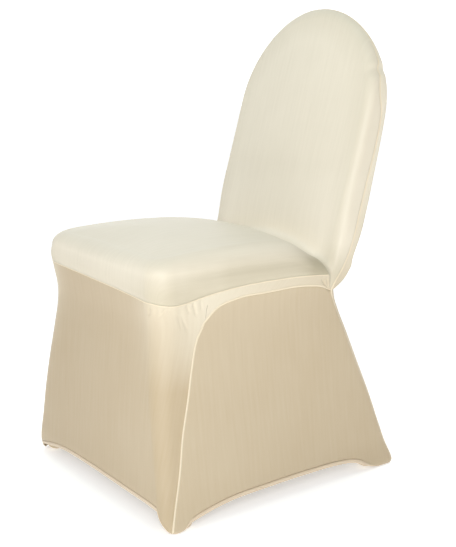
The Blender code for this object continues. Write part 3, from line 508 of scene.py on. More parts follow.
def rear_corner(z):
    """Place along the skirt of the seam round the rear corner."""
    rear_round = smooth(SKIRT, "z", "rear_round", z)
    return smooth(SKIRT, "z", "rear_y", z) - rear_round + rear_round * REAR_SEAM_TURN


def rear_seam(z):
    """The same, drawn in to the pinch at its top."""
    pinch = ARCH_SEAM[-1]
    return rear_corner(z) + (pinch.y - rear_corner(pinch.z)) * bump((pinch.z - z) / PINCH_REACH)


def side_panel(side):
    """A side panel, from the hem up to its arched seam."""
    step = (np.linspace(0, 1, LEG_ROWS + 1) ** HEM_CROWDING)[:, None]
    place = np.interp(np.linspace(0, 1, SIDE_COLUMNS + 1), np.linspace(0, 1, len(SIDE_PLACES)), SIDE_PLACES)
    front = smooth(LEG_SEAM, "z", "along", HEM_LOW + (ARCH_SEAM[0].z - HEM_LOW) * step)
    rear = rear_seam(HEM_LOW + (ARCH_SEAM[-1].z - HEM_LOW) * step)
    top_z = smooth(ARCH_SEAM, "y", "z", ARCH_SEAM[0].y + (ARCH_SEAM[-1].y - ARCH_SEAM[0].y) * place)
    low = smooth(HEM_SIDE, "at", "z", front[0] + (rear[0] - front[0]) * place)
    z = low + (top_z - low) * step
    return skirt_side(side, front + (rear - front) * place, z, hem_groove(z, low))


sides = {side: unevenness(side_panel(side)) for side in (1, -1)}
for side, word in ((1, "right"), (-1, "left")):
    rows = sides[side]
    # painted shade towards the rear of the side panel, and painted light towards its arch
    stretch_and_shading = SIDE_PULL + SIDE_REAR_SHADE * np.clip(rows[..., 1] / 0.25, -0.5, 1)
    stretch_and_shading -= ARCH_LIGHT * part_way(rows[..., 2], 0, 0.35)
    grid = cloth_grid("side", rows, rows[..., 1:], stretch_and_shading)
    panel = sew(f"side_panel_knit_{word}", [grid], (0, 0, 0.2), KNIT_WALL)
    panel.data.materials.append(skirt_knit)
    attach(panel, "root")
    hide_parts(f"side_panel_{word}")

# The seat and the inside of the back are one panel of ivory knit, pulled tight over the pad, tucked into the
# crease and carried up to the arched crest, where it turns over the edge to its seam with the back panel.
SEAT_CROWN = 0.0095        # rise of the seat's middle over its sides
SEAT_EDGE = 0.0380         # width of the turned-down edge
SEAT_BULGE = 0.0030        # how far the pad's side stands out over the seam below it
SEAT_POLE_Y = -0.0500      # where the rows of the seat's front fan out from
BACK_FOOT_Y = 0.1870       # front face of the back, at the height BACK_FOOT_Z
BACK_FOOT_Z = 0.4630
BACK_SLOPE = 0.3050        # how far the back leans rearward for each metre up, at its foot
BACK_BEND = 0.0700         # and how its lean straightens towards the crest
BACK_CROWN = 0.0060        # swell of the inside back over its edges
BACK_EDGE = 0.0200         # rounding of the front edge of the back
ARCH_CENTRE_Z = 0.7140     # centre of the arched top
CREST_Z = 0.9045           # and its top

# Height of the seat where its flat ends and the edge turns down, by place
SEAT_TOP = [
    SeamPoint(-0.2200, 0.4705), SeamPoint(-0.1600, 0.4760), SeamPoint(-0.0900, 0.4795),
    SeamPoint(0.0000, 0.4800), SeamPoint(0.0900, 0.4740), SeamPoint(0.1700, 0.4520),
]
SEAT_REAR_Y = 0.0800       # from here rearward the seat dips towards the crease
SEAT_REAR_RUN = 0.0900     # over this length
SEAT_REAR_DRAW = 0.0100    # and its middle line is drawn this much forward
SEAT_REAR_DIP = 0.6000     # and its crown goes down by this share

# Middle line of the crease between seat and back, from the seat up
CREASE = [
    SeamPoint(0.1700, 0.4515), SeamPoint(0.1800, 0.4510), SeamPoint(0.1870, 0.4550),
    SeamPoint(0.1920, 0.4630),
]
CREASE_CROWN = 0.0240      # how much the crease falls towards its ends
CREASE_EDGE = 0.0500       # width of the turned-down edge there
CREASE_SPREAD = 50         # the cloth spans the crease in a round fillet, this many rows either way
CREASE_PASSES = 160        # how often its rows are evened out
CREASE_HOLD = 12           # the seam is held where it is, and the cloth is free this many columns in
FOOT_BLEND = 0.2000        # height over which the inside back grows out of the crease

# Back, by height: half width, place of the seam, rear face, radius of the rear edge
BackLevel = namedtuple("BackLevel", "z half seam_y rear_y rear_round")
BACK = [
    BackLevel(0.3720, 0.2010, 0.1830, 0.1900, 0.0060),
    BackLevel(0.3890, 0.2040, 0.1910, 0.2120, 0.0100),
    BackLevel(0.4070, 0.2060, 0.2030, 0.2250, 0.0130),
    BackLevel(0.4300, 0.2070, 0.2165, 0.2380, 0.0150),
    BackLevel(0.4630, 0.2090, 0.2290, 0.2535, 0.0160),
    BackLevel(0.5200, 0.2095, 0.2450, 0.2715, 0.0170),
    BackLevel(0.5780, 0.2090, 0.2620, 0.2870, 0.0180),
    BackLevel(0.6530, 0.2080, 0.2850, 0.3070, 0.0200),
    BackLevel(0.7050, 0.2070, 0.2950, 0.3175, 0.0190),
    BackLevel(0.7400, 0.2060, 0.2920, 0.3215, 0.0190),
    BackLevel(0.7900, 0.2020, 0.3030, 0.3250, 0.0190),
    BackLevel(0.9100, 0.2000, 0.3190, 0.3280, 0.0220),
]
SNAG_Z = 0.7850            # the seam is snagged in at the right of the arch, at this height
SNAG_REACH = 0.0140        # over this height either way
SNAG_DEPTH = 0.0030
ACROSS = 56                # columns from the seam to the middle
BACK_ROWS = 80             # rows up the side of the back
ARCH_ROWS = 60             # and round the arch to the crest
BACK_CROWDING = 1.25       # those of the side crowd this much towards the pinch
ROUND_WEIGHT = 0.0400      # a radian of rounding has as many steps as this length of flat cloth
ROW_SAMPLES = 24           # points that a row's flat and its rounding are drawn with before it is stepped
SIDE_SAMPLES = 7           # and those of its straight side

# Ivory knit: its light colour serves slack cloth and painted light, its dark one cloth pulled tight and
# painted shade, as in the crease
IVORY_SLACK_LIT = (0.905, 0.834, 0.706)
IVORY_TAUT_SHADED = (0.480, 0.425, 0.300)
FLAT_PULL = 0.30           # tightness of the flat seat and back
CREASE_SHADE = 0.46         # painted shade: how much darker the ends of the crease are
SEAT_SIDE_SHADE = 0.50           # painted shade on the turned-down side of the seat
SEAT_FRONT_SHADE = 0.26          # painted shade on the turned-down front
CORNER_SHADE = 0.24         # and more painted shade at the front corners
BACK_FOOT_LIGHT = 0.32           # painted light: how much lighter the foot of the back is
BACK_EDGE_SHADE = 0.14           # painted shade: how much darker its turned edge is
PINCH_SHADE = 0.40          # painted shade at the pinch
LOW_EDGE_SHADE = 0.24       # and on the turned edge just above it


def half_row(middle, reach, drop, edge, crown, bulge=0.0):
    """A row from the seam to the middle of a face: straight side, rounded edge, crowned flat."""
    length = np.linalg.norm(reach)
    depth = np.linalg.norm(drop)
    wide = min(edge, 0.8 * length)
    deep = max(min(edge * 1.2, depth) - crown, 0.001)
    flat = np.linspace(0, 1, ROW_SAMPLES)
    turn = np.linspace(0, math.pi / 2, ROW_SAMPLES)[1:]
    side = np.linspace(0, 1, SIDE_SAMPLES + 1)[1:]
    rest = max(depth - crown - deep, 1e-5)
    belly = bulge * np.sin(side * math.pi)
    out = [flat * (length - wide), length - wide + wide * np.sin(turn), length + belly]
    down = [crown * flat ** 2, crown + deep * (1 - np.cos(turn)), crown + deep + rest * side]
    out = np.concatenate(out) / length
    down = np.concatenate(down) / (crown + deep + rest)
    points = middle + np.outer(out, reach) + np.outer(down, drop)
    lengths = np.linalg.norm(np.diff(points, axis=0), axis=1)
    bends = np.concatenate([np.zeros(ROW_SAMPLES - 1), np.diff(turn, prepend=0), np.zeros(SIDE_SAMPLES)])
    run = np.concatenate([[0], np.cumsum(lengths + ROUND_WEIGHT * bends)])
    places = run[-1] * (1 - np.linspace(0, 1, ACROSS + 1))
    return np.stack([np.interp(places, run, points[:, axis]) for axis in range(3)], axis=1)


def back_face_y(z):
    """Front face of the back at a height."""
    return BACK_FOOT_Y + BACK_SLOPE * (z - BACK_FOOT_Z) - BACK_BEND * (z - BACK_FOOT_Z) ** 2


def back_seam(side):
    """Seam between the inside and the outside of the back, from the pinch to the crest: points and turns."""
    stations = []
    arch_half = float(smooth(BACK, "z", "half", ARCH_CENTRE_Z))
    for share in np.linspace(0, 1, BACK_ROWS + 1):
        z = BACK[0].z + (ARCH_CENTRE_Z - BACK[0].z) * share ** BACK_CROWDING
        x = float(smooth(BACK, "z", "half", z))
        stations.append((np.array([side * x, float(smooth(BACK, "z", "seam_y", z)), z]), 0.0))
    for turn in np.linspace(0, math.pi / 2, ARCH_ROWS + 1)[1:]:
        z = ARCH_CENTRE_Z + (CREST_Z - ARCH_CENTRE_Z) * math.sin(turn)
        snag = SNAG_DEPTH * float(bump((z - SNAG_Z) / SNAG_REACH)) if side == 1 else 0
        point = [side * (arch_half * math.cos(turn) - snag), float(smooth(BACK, "z", "seam_y", z)) - snag, z]
        stations.append((np.array(point), turn))
    return stations


def seat_and_inside_back(side):
    """Half of the panel over the seat and up the inside of the back, as rows from its seam to its middle."""
    rows = []
    strip = strip_under_seat(side)
    pole = np.array([0, SEAT_POLE_Y, float(smooth(SEAT_TOP, "y", "z", SEAT_POLE_Y)) + SEAT_CROWN])
    for seam in front_skirt(side)[-1]:
        reach = np.array([seam[0], seam[1] - pole[1], 0])
        crown = pole[2] - float(smooth(SEAT_TOP, "y", "z", seam[1]))
        rows.append(half_row(pole, reach, np.array([0, 0, seam[2] - pole[2]]), SEAT_EDGE, crown, SEAT_BULGE))
    for seam in strip[-1][1:]:
        rearward = float(np.clip((seam[1] - SEAT_REAR_Y) / SEAT_REAR_RUN, 0, 1))
        y = max(seam[1], SEAT_POLE_Y) - SEAT_REAR_DRAW * rearward
        top = float(smooth(SEAT_TOP, "y", "z", y)) + SEAT_CROWN * (1 - SEAT_REAR_DIP * rearward)
        middle = np.array([0, y, top])
        reach = np.array([seam[0], min(seam[1] - SEAT_POLE_Y, 0), 0])
        blend = eased(rearward)
        crown = top - float(smooth(SEAT_TOP, "y", "z", min(seam[1], y)))
        crown = crown + (CREASE_CROWN - crown) * blend
        edge = SEAT_EDGE + (CREASE_EDGE - SEAT_EDGE) * blend
        rows.append(half_row(middle, reach, seam - middle - reach, edge, crown, SEAT_BULGE * (1 - rearward)))
    steps = np.linspace(0, 1, STRIP_ROWS + 1)[1:]
    places = np.linspace(0, 1, len(CREASE) + 1)
    crease_y = np.interp(steps, places, [rows[-1][-1][1], *[point.y for point in CREASE]])
    crease_z = np.interp(steps, places, [rows[-1][-1][2], *[point.z for point in CREASE]])
    for seam, y, z in zip(strip[STRIP_ROWS - 1::-1, -1], crease_y, crease_z):
        middle = np.array([0, y, z])
        drop = np.array([0, seam[1] - middle[1], seam[2] - middle[2]])
        rows.append(half_row(middle, np.array([seam[0], 0, 0]), drop, CREASE_EDGE, CREASE_CROWN))
    for seam, turn in back_seam(side)[1:]:
        x, _, z = seam
        if turn == 0:
            low = 1 - np.clip((z - BACK[0].z) / FOOT_BLEND, 0, 1)
            level = z + (CREASE[-1].z - BACK[0].z) * low ** 1.5
            middle = np.array([0, back_face_y(level) - BACK_CROWN * (1 - low ** 3), level])
            reach = np.array([x, 0, 0])
            crown = BACK_CROWN + (CREASE_CROWN - BACK_CROWN) * low ** 3
            edge = BACK_EDGE + (CREASE_EDGE - BACK_EDGE) * low ** 3
        else:
            middle = np.array([0, back_face_y(ARCH_CENTRE_Z) - BACK_CROWN, ARCH_CENTRE_Z])
            reach = np.array([x, back_face_y(z) - back_face_y(ARCH_CENTRE_Z), z - ARCH_CENTRE_Z])
            crown = BACK_CROWN
            edge = BACK_EDGE
        rows.append(half_row(middle, reach, seam - middle - reach, edge, crown))
    rows = np.array(rows)
    crease_row = FRONT_COLUMNS + CORNER_COLUMNS + SIDE_COLUMNS + STRIP_ROWS
    loose = bump((np.arange(len(rows)) - crease_row) / CREASE_SPREAD)[1:-1, None, None]
    loose = 0.5 * loose * np.clip(np.arange(ACROSS + 1) / CREASE_HOLD, 0, 1)[None, :, None]
    for _ in range(CREASE_PASSES):
        rows[1:-1] += loose * ((rows[:-2] + rows[2:]) / 2 - rows[1:-1])
    return rows


def upper_stretch_and_shading(rows, on_seat):
    """How tight the upper is pulled, with painted shade down the seat's edges, at the crease's ends, on the
    back's turned edge and at the pinch, and painted light at the back's foot.
    """
    x, y, z = np.moveaxis(rows, -1, 0)
    outward = np.abs(x)
    corner_row = FRONT_COLUMNS + CORNER_COLUMNS / 2
    corner = bump((np.arange(len(rows)) - corner_row) / (CORNER_COLUMNS * 0.9))[:, None]
    over_side = part_way(outward, 0.170, 0.200) * part_way(y, -0.21, -0.11)
    from_crease = np.hypot(y - CREASE[1].y + MIDDLE_Y, z - CREASE[1].z + x ** 2) / 0.050
    turned = part_way(np.arange(ACROSS + 1) / ACROSS, 0.50, 0.30)
    pinched = part_way(outward, 0.175, 0.205) * part_way(z, 0.46, 0.40)
    # painted shade in the crease, down the seat's edges, on the back's turned edge and at the pinch; painted
    # light at the back's foot
    seat = CREASE_SHADE * np.exp(-from_crease ** 2) * part_way(outward, 0.09, 0.19)
    seat += SEAT_SIDE_SHADE * over_side * part_way(z, 0.470, 0.435)
    seat += SEAT_FRONT_SHADE * (1 - over_side) * part_way(z, 0.446, 0.411)
    back = BACK_EDGE_SHADE * turned + LOW_EDGE_SHADE * turned * part_way(z, 0.60, 0.45) + PINCH_SHADE * pinched
    back -= BACK_FOOT_LIGHT * part_way(z, 0.60, 0.44)
    return FLAT_PULL + np.where(on_seat, seat, back) + CORNER_SHADE * corner * part_way(z, 0.475, 0.435)


def upper_grain(rows, side, on_seat):
    """The upper's grain: across and along the seat, on over its edges, and up the back."""
    x, y, z = np.moveaxis(rows, -1, 0)
    over_edge = np.clip(0.478 - z, 0, 1)
    across = x + side * over_edge * part_way(np.abs(x), 0.17, 0.20)
    along = y - over_edge * part_way(y, -0.22, -0.25)
    up_back = 0.14 + (z - 0.47) * 1.045
    return np.stack([np.where(on_seat, across, x), np.where(on_seat, along, up_back)], axis=-1)


seat_knit = knit("ivory stretch knit", IVORY_SLACK_LIT, IVORY_TAUT_SHADED, 0.46, 0.15)
uppers = {side: unevenness(seat_and_inside_back(side)) for side in (1, -1)}
parts = []
for side in (1, -1):
    rows = uppers[side]
    on_seat = (np.arange(len(rows)) <= FRONT_COLUMNS + CORNER_COLUMNS + SIDE_COLUMNS)[:, None]
    grain = upper_grain(rows, side, on_seat)
    parts.append(cloth_grid("seat half", rows, grain, upper_stretch_and_shading(rows, on_seat)))
upper = sew("seat_and_inside_back_knit", parts, (0, 0.3, 0.3), KNIT_WALL)
upper.data.materials.append(seat_knit)
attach(upper, "root")
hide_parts("seat_and_inside_back")

# The back panel is one long piece from the crest down to the rear hem, sewn to the inside panel round the
# arch and to both side panels below the pinch. It is champagne knit like the skirt.
REAR_CROWN = 0.0040        # swell of the outside of the back
REAR_EDGE = 0.0100         # rounding of the rear skirt's edge, besides its swell
SWELL_BLEND = 0.0900       # height over which the outside of the back grows out of the rear skirt
REAR_LEVELS = 120          # levels that the rear skirt is drawn with before its rows follow the hem
REAR_PULL = 0.16           # tightness of the outside of the back
WAIST_GAIN = 0.26          # how much tighter it gets down to the level of the seat
FLARE_GAIN = 0.34          # and again over the flare below it
HEM_REAR = [
    Hem(0.00, 0.0330), Hem(0.78, 0.0325), Hem(0.855, 0.0260), Hem(0.90, 0.0120), Hem(0.94, 0.0030),
    Hem(1.00, 0.0015),
]


def rear_row(side, z):
    """A level row of the back panel below the pinch, from its seam to its middle."""
    seam = skirt_side(side, rear_seam(z), z)
    swell = REAR_CROWN / 4 + float(smooth(SKIRT, "z", "rear_swell", z))
    middle = np.array([0, float(smooth(SKIRT, "z", "rear_y", z)) + swell, z])
    reach = np.array([seam[0], 0, 0])
    return half_row(middle, reach, seam - middle - reach, REAR_EDGE + swell, swell * 0.6)


def back_panel(side):
    """Half of the back panel, from the crest down to the rear hem, as rows from its seam to its middle."""
    rows = []
    arch_rear = float(smooth(BACK, "z", "rear_y", ARCH_CENTRE_Z))
    for seam, turn in reversed(back_seam(side)[1:]):
        x, _, z = seam
        edge = float(smooth(BACK, "z", "rear_round", z))
        rear = float(smooth(BACK, "z", "rear_y", z))
        if turn == 0:
            low = 1 - np.clip((z - BACK[0].z) / SWELL_BLEND, 0, 1)
            swell = REAR_CROWN + SKIRT[-1].rear_swell * low ** 2
            middle = np.array([0, rear + swell, z])
            reach = np.array([x, 0, 0])
        else:
            swell = REAR_CROWN
            middle = np.array([0, arch_rear + swell, ARCH_CENTRE_Z])
            reach = np.array([x, rear - arch_rear, z - ARCH_CENTRE_Z])
        rows.append(half_row(middle, reach, seam - middle - reach, edge, swell))
    pinch_z = ARCH_SEAM[-1].z
    levels = np.array([rear_row(side, z) for z in np.linspace(0, pinch_z, REAR_LEVELS)])
    column = np.arange(ACROSS + 1)
    for step in np.linspace(1, 0, LEG_ROWS + 1) ** HEM_CROWDING:
        level = rear_row(side, HEM_LOW + (pinch_z - HEM_LOW) * step)
        low = smooth(HEM_REAR, "at", "z", level[:, 0] / level[0, 0])
        z = low + (pinch_z - low) * step
        place = np.minimum(z / pinch_z * (REAR_LEVELS - 1), REAR_LEVELS - 1.001)
        first = place.astype(int)
        part = (place - first)[:, None]
        row = levels[first, column] * (1 - part) + levels[first + 1, column] * part
        row[:, 1] -= hem_groove(z, low)
        row[0] = level[0]
        rows.append(row)
    return np.array(rows)


rears = {side: unevenness(back_panel(side)) for side in (1, -1)}
parts = []
for side in (1, -1):
    rows = rears[side]
    grain = np.stack([side * (run_along(rows, 1)[:, -1:] - run_along(rows, 1)), rows[..., 2]], axis=-1)
    stretch_and_shading = REAR_PULL + WAIST_GAIN * part_way(rows[..., 2], 0.58, 0.42)
    stretch_and_shading += FLARE_GAIN * part_way(rows[..., 2], 0.42, 0.35)
    parts.append(cloth_grid("rear half", rows, grain, stretch_and_shading))
rear = sew("back_panel_knit", parts, (0, -0.2, 0.45), KNIT_WALL)
rear.data.materials.append(skirt_knit)
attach(rear, "root")
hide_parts("back_panel")

# The seams are sewn inside out, so each shows as a raised pale line where its allowance lies folded below
# the stretched cloth: under the seat, round each arch and leg, and up the edges of the back. Their paleness
# is partly the doubled cloth and partly a painted highlight along the raised line.
SeamRoll = namedtuple("SeamRoll", "width height")
SEAT_ROLL = SeamRoll(0.0022, 0.00045)
SIDE_ROLL = SeamRoll(0.0038, 0.0008)
BACK_ROLL = SeamRoll(0.0030, 0.0006)
ROLL_SINK = 0.0006         # how deep a roll's underside lies in the cloth
ROLL_TAPER = 0.0060        # its ends taper over this length
ROLL_SIDES = 12            # facets round it


def outward_normals(rows, centre):
    """Unit normals of a grid of cloth, pointing away from a centre."""
    normals = np.cross(np.gradient(rows, axis=0), np.gradient(rows, axis=1))
    normals /= np.linalg.norm(normals, axis=-1)[..., None] + 1e-12
    facing = np.sign(np.sum(normals * (rows - np.array(centre)), axis=-1))
    return normals * facing[..., None]


def evened(path, *others, step=0.0025):
    """A path and what goes with it, at even steps along it."""
    run = np.concatenate([[0], np.cumsum(np.linalg.norm(np.diff(path, axis=0), axis=1))])
    places = np.linspace(0, run[-1], int(run[-1] / step) + 2)
    stepped = []
    for table in (path, *others):
        stepped.append(np.stack([np.interp(places, run, table[:, axis]) for axis in range(3)], axis=1))
    return stepped


def swept(name, path, across, outward, section, size=1.0):
    """A closed roll of cloth swept along a path, tapered at its ends; its section is across and outward."""
    run = np.concatenate([[0], np.cumsum(np.linalg.norm(np.diff(path, axis=0), axis=1))])
    taper = np.sqrt(np.clip(np.minimum(run, run[-1] - run) / ROLL_TAPER, 0, 1)) * size
    section = np.array(section + section[:1])
    points = path[:, None] + (taper[:, None] * section[:, 0])[..., None] * across[:, None]
    points = points + (taper[:, None] * section[:, 1])[..., None] * outward[:, None]
    along = np.broadcast_to(run[:, None], points.shape[:2])
    return cloth_grid(name, points, np.stack([run_along(points, 1), along], axis=-1))


def rounded(width, height, sink, lift=0.0):
    """Section of a soft roll: a half ellipse outward and a flat sunk side."""
    turns = np.arange(ROLL_SIDES) * math.tau / ROLL_SIDES
    rise = np.where(np.sin(turns) > 0, height, sink) * np.sin(turns)
    return list(zip(lift + width / 2 * np.cos(turns), rise))


def seam_roll(name, path, outward, roll):
    """The folded seam allowance along a path on the cover, as a soft raised line."""
    path, outward = evened(path, outward)
    along = np.gradient(path, axis=0)
    across = np.cross(along, outward)
    across /= np.linalg.norm(across, axis=1)[:, None] + 1e-12
    section = rounded(roll.width, roll.height, ROLL_SINK)
    seam = sew(name, [swept(name, path, across, outward, section)], (0, 0, 0.4))
    seam.data.materials.append(seam_knit_highlighted)
    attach(seam, "root")
    return seam


# the seam's pale colour is partly its doubled cloth and partly a painted highlight
seam_knit_highlighted = knit("seam allowance knit", (0.760, 0.665, 0.500), (0.700, 0.590, 0.415), 0.50, 0.15)
middle = (0, 0.05 - MIDDLE_Y, 0.25)
in_back = (0, 0.25, 0.55)
skirt_out = {side: outward_normals(skirts[side], middle) for side in (1, -1)}
strip_out = {side: outward_normals(strips[side], middle) for side in (1, -1)}
path = np.concatenate([strips[1][-1][::-1], skirts[1][-1][-2::-1], skirts[-1][-1][1:], strips[-1][-1][1:]])
out = [strip_out[1][-1][::-1], skirt_out[1][-1][-2::-1], skirt_out[-1][-1][1:], strip_out[-1][-1][1:]]
seam_rolls = {"seat": seam_roll("seat_seam", path, np.concatenate(out), SEAT_ROLL)}
for side, word in ((1, "right"), (-1, "left")):
    rows = sides[side]
    side_out = outward_normals(rows, middle)
    path = np.concatenate([rows[:, 0], rows[-1, 1:]])
    out = np.concatenate([side_out[:, 0], side_out[-1, 1:]])
    seam_rolls[word] = seam_roll(f"side_seam_{word}", path, out, SIDE_ROLL)
    pinch_row = FRONT_COLUMNS + CORNER_COLUMNS + SIDE_COLUMNS + STRIP_ROWS
    upper_out = outward_normals(uppers[side], in_back)
    path = np.concatenate([rows[:-1, -1], uppers[side][pinch_row:, 0]])
    out = np.concatenate([side_out[:-1, -1], upper_out[pinch_row:, 0]])
    seam_rolls[word + " back"] = seam_roll(f"back_seam_{word}", path, out, BACK_ROLL)

# The hem is turned under and rolled: a soft, slightly paler band along the whole foot of the cover, with a
# row of coverstitching in the groove above it, its thread darkened as painted shade of the groove. It thins
# out round the toes.
BAND_RISE = 0.0016         # how far the band stands out over the cloth
BAND_SINK = 0.0014         # and in behind it
THREAD_WIDTH = 0.0009
THREAD_HEIGHT = 0.0004
THREAD_SINK = 0.0002       # how far the thread is drawn into the cloth
TOE_FULLNESS = 0.30        # share of the band's size that is left under the toes


def hem_band(word, edge, above, outward, fullness):
    """The rolled band along an edge of the cover, and the stitching above it."""
    up = above - edge
    up /= np.linalg.norm(up, axis=1)[:, None]
    band, up, out, size = evened(edge, up, outward, np.repeat(fullness[:, None], 3, axis=1), step=0.003)
    section = rounded(HEM_BAND, BAND_RISE, BAND_SINK, HEM_BAND / 2)
    roll = swept(f"hem_{word}", band, up, out, section, size[:, 0])
    roll = sew(f"hem_{word}", [roll], (0, 0, 0.2))
    roll.data.materials.append(hem_knit)
    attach(roll, "root")
    line = band + up * (size * STITCH_RISE) - out * THREAD_SINK
    section = rounded(THREAD_WIDTH, THREAD_HEIGHT, THREAD_HEIGHT)
    thread = swept(f"hem_stitch_{word}", line, up, out, section)
    thread = sew(f"hem_stitch_{word}", [thread], (0, 0, 0.2))
    thread.data.materials.append(stitch_thread_shaded)
    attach(thread, "root")
    return [roll, thread]


def hem_lines(rows, normals):
    """The edge of a grid of cloth, points a band's width above it, its normals, and how full the roll is."""
    heights = np.linalg.norm(rows - rows[0], axis=-1)
    above = []
    for height, column in zip(heights.T, np.moveaxis(rows, 1, 0)):
        above.append([np.interp(HEM_BAND, height, column[:, axis]) for axis in range(3)])
    fullness = TOE_FULLNESS + (1 - TOE_FULLNESS) * part_way(rows[0, :, 2], 0.003, 0.017)
    return rows[0], np.array(above), normals[0], fullness


hem_knit = knit("rolled hem knit", (0.680, 0.560, 0.415), (0.620, 0.500, 0.350), 0.50, 0.15)
# the thread is darker than the cloth as painted shade of the groove above the hem
stitch_thread_shaded = knit("hem thread", (0.420, 0.330, 0.220), (0.380, 0.290, 0.185), 0.60, 0.10)
right, left = hem_lines(skirts[1], skirt_out[1]), hem_lines(skirts[-1], skirt_out[-1])
front_hem = hem_band("front", *[np.concatenate([a[::-1], b[1:]]) for a, b in zip(right, left)])
for side, word in ((1, "right"), (-1, "left")):
    hem_band(word, *hem_lines(sides[side], outward_normals(sides[side], middle)))
halves = [hem_lines(rears[side][::-1], outward_normals(rears[side], middle)[::-1]) for side in (1, -1)]
rear_hem = hem_band("rear", *[np.concatenate([a, b[-2::-1]]) for a, b in zip(*halves)])

# The four foot pockets are small cups of the same knit, doubled, sewn in at the corners to hold the chair's
# feet and keep the cover stretched. They show only from below.

# For each: outer face, the end at the corner, which way it runs from it, its plan sizes at the sole and at
# the rim, and how far the sole is set back from the rim at the corner
POCKET_COLUMNS = "name outer_x corner_y facing sole_width rim_width sole_length rim_length set_back"
Pocket = namedtuple("Pocket", POCKET_COLUMNS)
POCKETS = [
    Pocket("front", 0.2486, -0.2240, 1, 0.0300, 0.0320, 0.0400, 0.0640, 0.0155),
    Pocket("rear", 0.2325, 0.3180, -1, 0.0320, 0.0350, 0.0560, 0.0790, 0.0035),
]
POCKET_CORNER = 0.0140
POCKET_HEIGHT = 0.0214
POCKET_SOLE_ROUND = 0.0065
POCKET_WALL = 0.0016
pocket_knit = knit("doubled pocket knit", (0.620, 0.510, 0.360), (0.520, 0.415, 0.270), 0.55, 0.15)


def choose(cup, kind, wanted):
    """Selects only those edges or polygons of a cup whose lowest and highest corners are wanted."""
    bpy.ops.object.mode_set(mode="EDIT")
    bpy.ops.mesh.select_mode(type="EDGE" if kind == "edges" else "FACE")
    bpy.ops.mesh.select_all(action="DESELECT")
    bpy.ops.object.mode_set(mode="OBJECT")
    for element in getattr(cup.data, kind):
        heights = [cup.data.vertices[i].co.z for i in element.vertices]
        element.select = wanted(min(heights), max(heights))
    bpy.ops.object.mode_set(mode="EDIT")


def foot_pocket(name, pocket, side):
    """A closed pocket for a foot: a block drawn to the slant of the leg, rounded, opened and given a wall."""
    bpy.ops.mesh.primitive_cube_add(size=1)
    cup = bpy.context.active_object
    cup.name = cup.data.name = name
    for vertex in cup.data.vertices:
        above = vertex.co.z > 0
        width = pocket.rim_width if above else pocket.sole_width
        near_end = 0 if above else pocket.set_back
        far_end = pocket.rim_length if above else pocket.set_back + pocket.sole_length
        vertex.co.x = side * (pocket.outer_x - (0 if vertex.co.x * side > 0 else width))
        end = near_end if vertex.co.y * pocket.facing < 0 else far_end
        vertex.co.y = pocket.corner_y - MIDDLE_Y + pocket.facing * end
        vertex.co.z = POCKET_HEIGHT if above else 0.0
    choose(cup, "edges", lambda low, high: low < high)
    bpy.ops.mesh.bevel(offset=POCKET_CORNER, segments=8)
    choose(cup, "edges", lambda low, high: high < 1e-6)
    bpy.ops.mesh.bevel(offset=POCKET_SOLE_ROUND, segments=6)
    choose(cup, "polygons", lambda low, high: low > POCKET_HEIGHT - 1e-6)
    bpy.ops.mesh.delete(type="FACE")
    bpy.ops.mesh.select_all(action="SELECT")
    bpy.ops.mesh.normals_make_consistent(inside=False)
    bpy.ops.uv.cube_project(cube_size=1.0, scale_to_bounds=False, correct_aspect=False)
    bpy.ops.object.mode_set(mode="OBJECT")
    cup.data.uv_layers[0].name = "Grain"
    wall = cup.modifiers.new("wall", "SOLIDIFY")
    wall.thickness = POCKET_WALL
    wall.offset = -1
    bpy.ops.object.modifier_apply(modifier=wall.name)
    for vertex in cup.data.vertices:
        vertex.co.z = min(vertex.co.z, POCKET_HEIGHT)
    cup.data.shade_smooth()
    cup.data.materials.append(pocket_knit)
    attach(cup, "root")
    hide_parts(name.replace("_knit", ""))
    bpy.ops.object.select_all(action="DESELECT")
    return cup


pockets = {pocket.name: [] for pocket in POCKETS}
for pocket in POCKETS:
    for side, word in ((1, "right"), (-1, "left")):
        pockets[pocket.name].append(foot_pocket(f"foot_pocket_{pocket.name}_{word}_knit", pocket, side))

# The floor is a plain pale plane, wide enough to fill the photograph's view. It glows faintly, a painted
# light that keeps it white and lightens the shadow under the cover.
bpy.ops.mesh.primitive_plane_add(size=30, location=(0, 0, -0.0005))
floor = bpy.context.active_object
floor.name = "floor"
pale = bpy.data.materials.new("pale floor")
pale.use_nodes = True
shader = pale.node_tree.nodes["Principled BSDF"]
shader.inputs["Base Color"].default_value = (0.90, 0.90, 0.90, 1)
shader.inputs["Roughness"].default_value = 0.9
shader.inputs["Emission Color"].default_value = (1, 1, 1, 1)
# painted light: the floor's glow keeps it white and lightens the shadow under the cover
shader.inputs["Emission Strength"].default_value = 0.42
floor.data.materials.append(pale)

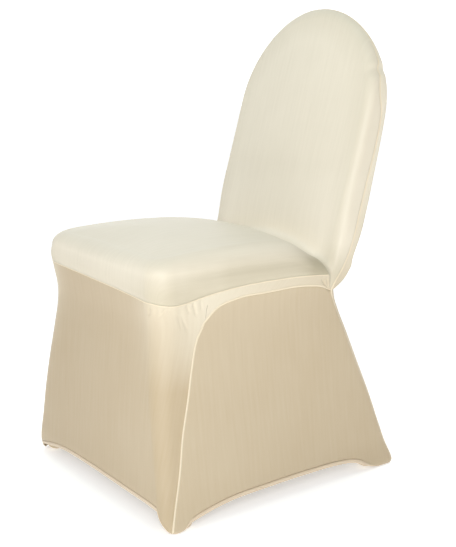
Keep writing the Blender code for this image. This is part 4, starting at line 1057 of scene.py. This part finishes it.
# Soft studio light: a room that is brightest behind the cover, a large softbox beside the camera and a
# smaller one from above.
BRIGHT_WAY = (-0.81, 0.58, 0.25)    # towards the room's bright side
DIM = 0.10                 # strength of the room on its dark side
BRIGHT = 1.35              # and on its bright side
TOP_COLOUR = (0.45, 1.0, 0.85)      # cooler than the light beside the camera


def softbox(name, place, aim, size, power):
    """A square area light at a place, turned towards a point."""
    bpy.ops.object.light_add(type="AREA", location=place)
    lamp = bpy.context.active_object
    lamp.name = name
    lamp.data.size = size
    lamp.data.energy = power
    toward = np.array(aim) - np.array(place)
    flat = math.hypot(toward[0], toward[1])
    lamp.rotation_euler = (math.atan2(flat, -toward[2]), 0, math.atan2(toward[1], toward[0]) - math.pi / 2)


world = bpy.data.worlds.new("studio")
world.use_nodes = True
nodes, links = world.node_tree.nodes, world.node_tree.links
direction = nodes.new("ShaderNodeTexCoord")
facing = nodes.new("ShaderNodeVectorMath")
facing.operation = "DOT_PRODUCT"
facing.inputs[1].default_value = BRIGHT_WAY
spread = {"From Min": -0.4, "From Max": 0.9, "To Min": DIM, "To Max": BRIGHT}
brightness = node(nodes, "ShaderNodeMapRange", spread)
links.new(direction.outputs["Generated"], facing.inputs[0])
links.new(facing.outputs["Value"], brightness.inputs["Value"])
links.new(brightness.outputs["Result"], nodes["Background"].inputs["Strength"])
nodes["Background"].inputs["Color"].default_value = (1, 1, 1, 1)
bpy.context.scene.world = world
bpy.context.scene.view_settings.view_transform = "Standard"
softbox("front softbox", (1.95, -1.55, 1.25), (0, -0.05, 0.40), 1.3, 44)
softbox("top softbox", (0.0, -0.35, 2.5), (0, -0.10, 0.45), 0.8, 3.2)
bpy.context.active_object.data.color = TOP_COLOUR

# The camera stands at the photograph's angle, to the right of the cover's front. It is 0.8 m above the
# floor and about two metres away.
CAMERA_PLACE = (1.5877, -1.0563 - MIDDLE_Y, 0.7902)
CAMERA_TURN = (math.radians(78.20), 0, math.radians(54.33))
bpy.ops.object.camera_add(location=CAMERA_PLACE, rotation=CAMERA_TURN)
camera = bpy.context.active_object
camera.data.lens = 65.14
camera.data.sensor_width = 36
bpy.context.scene.camera = camera
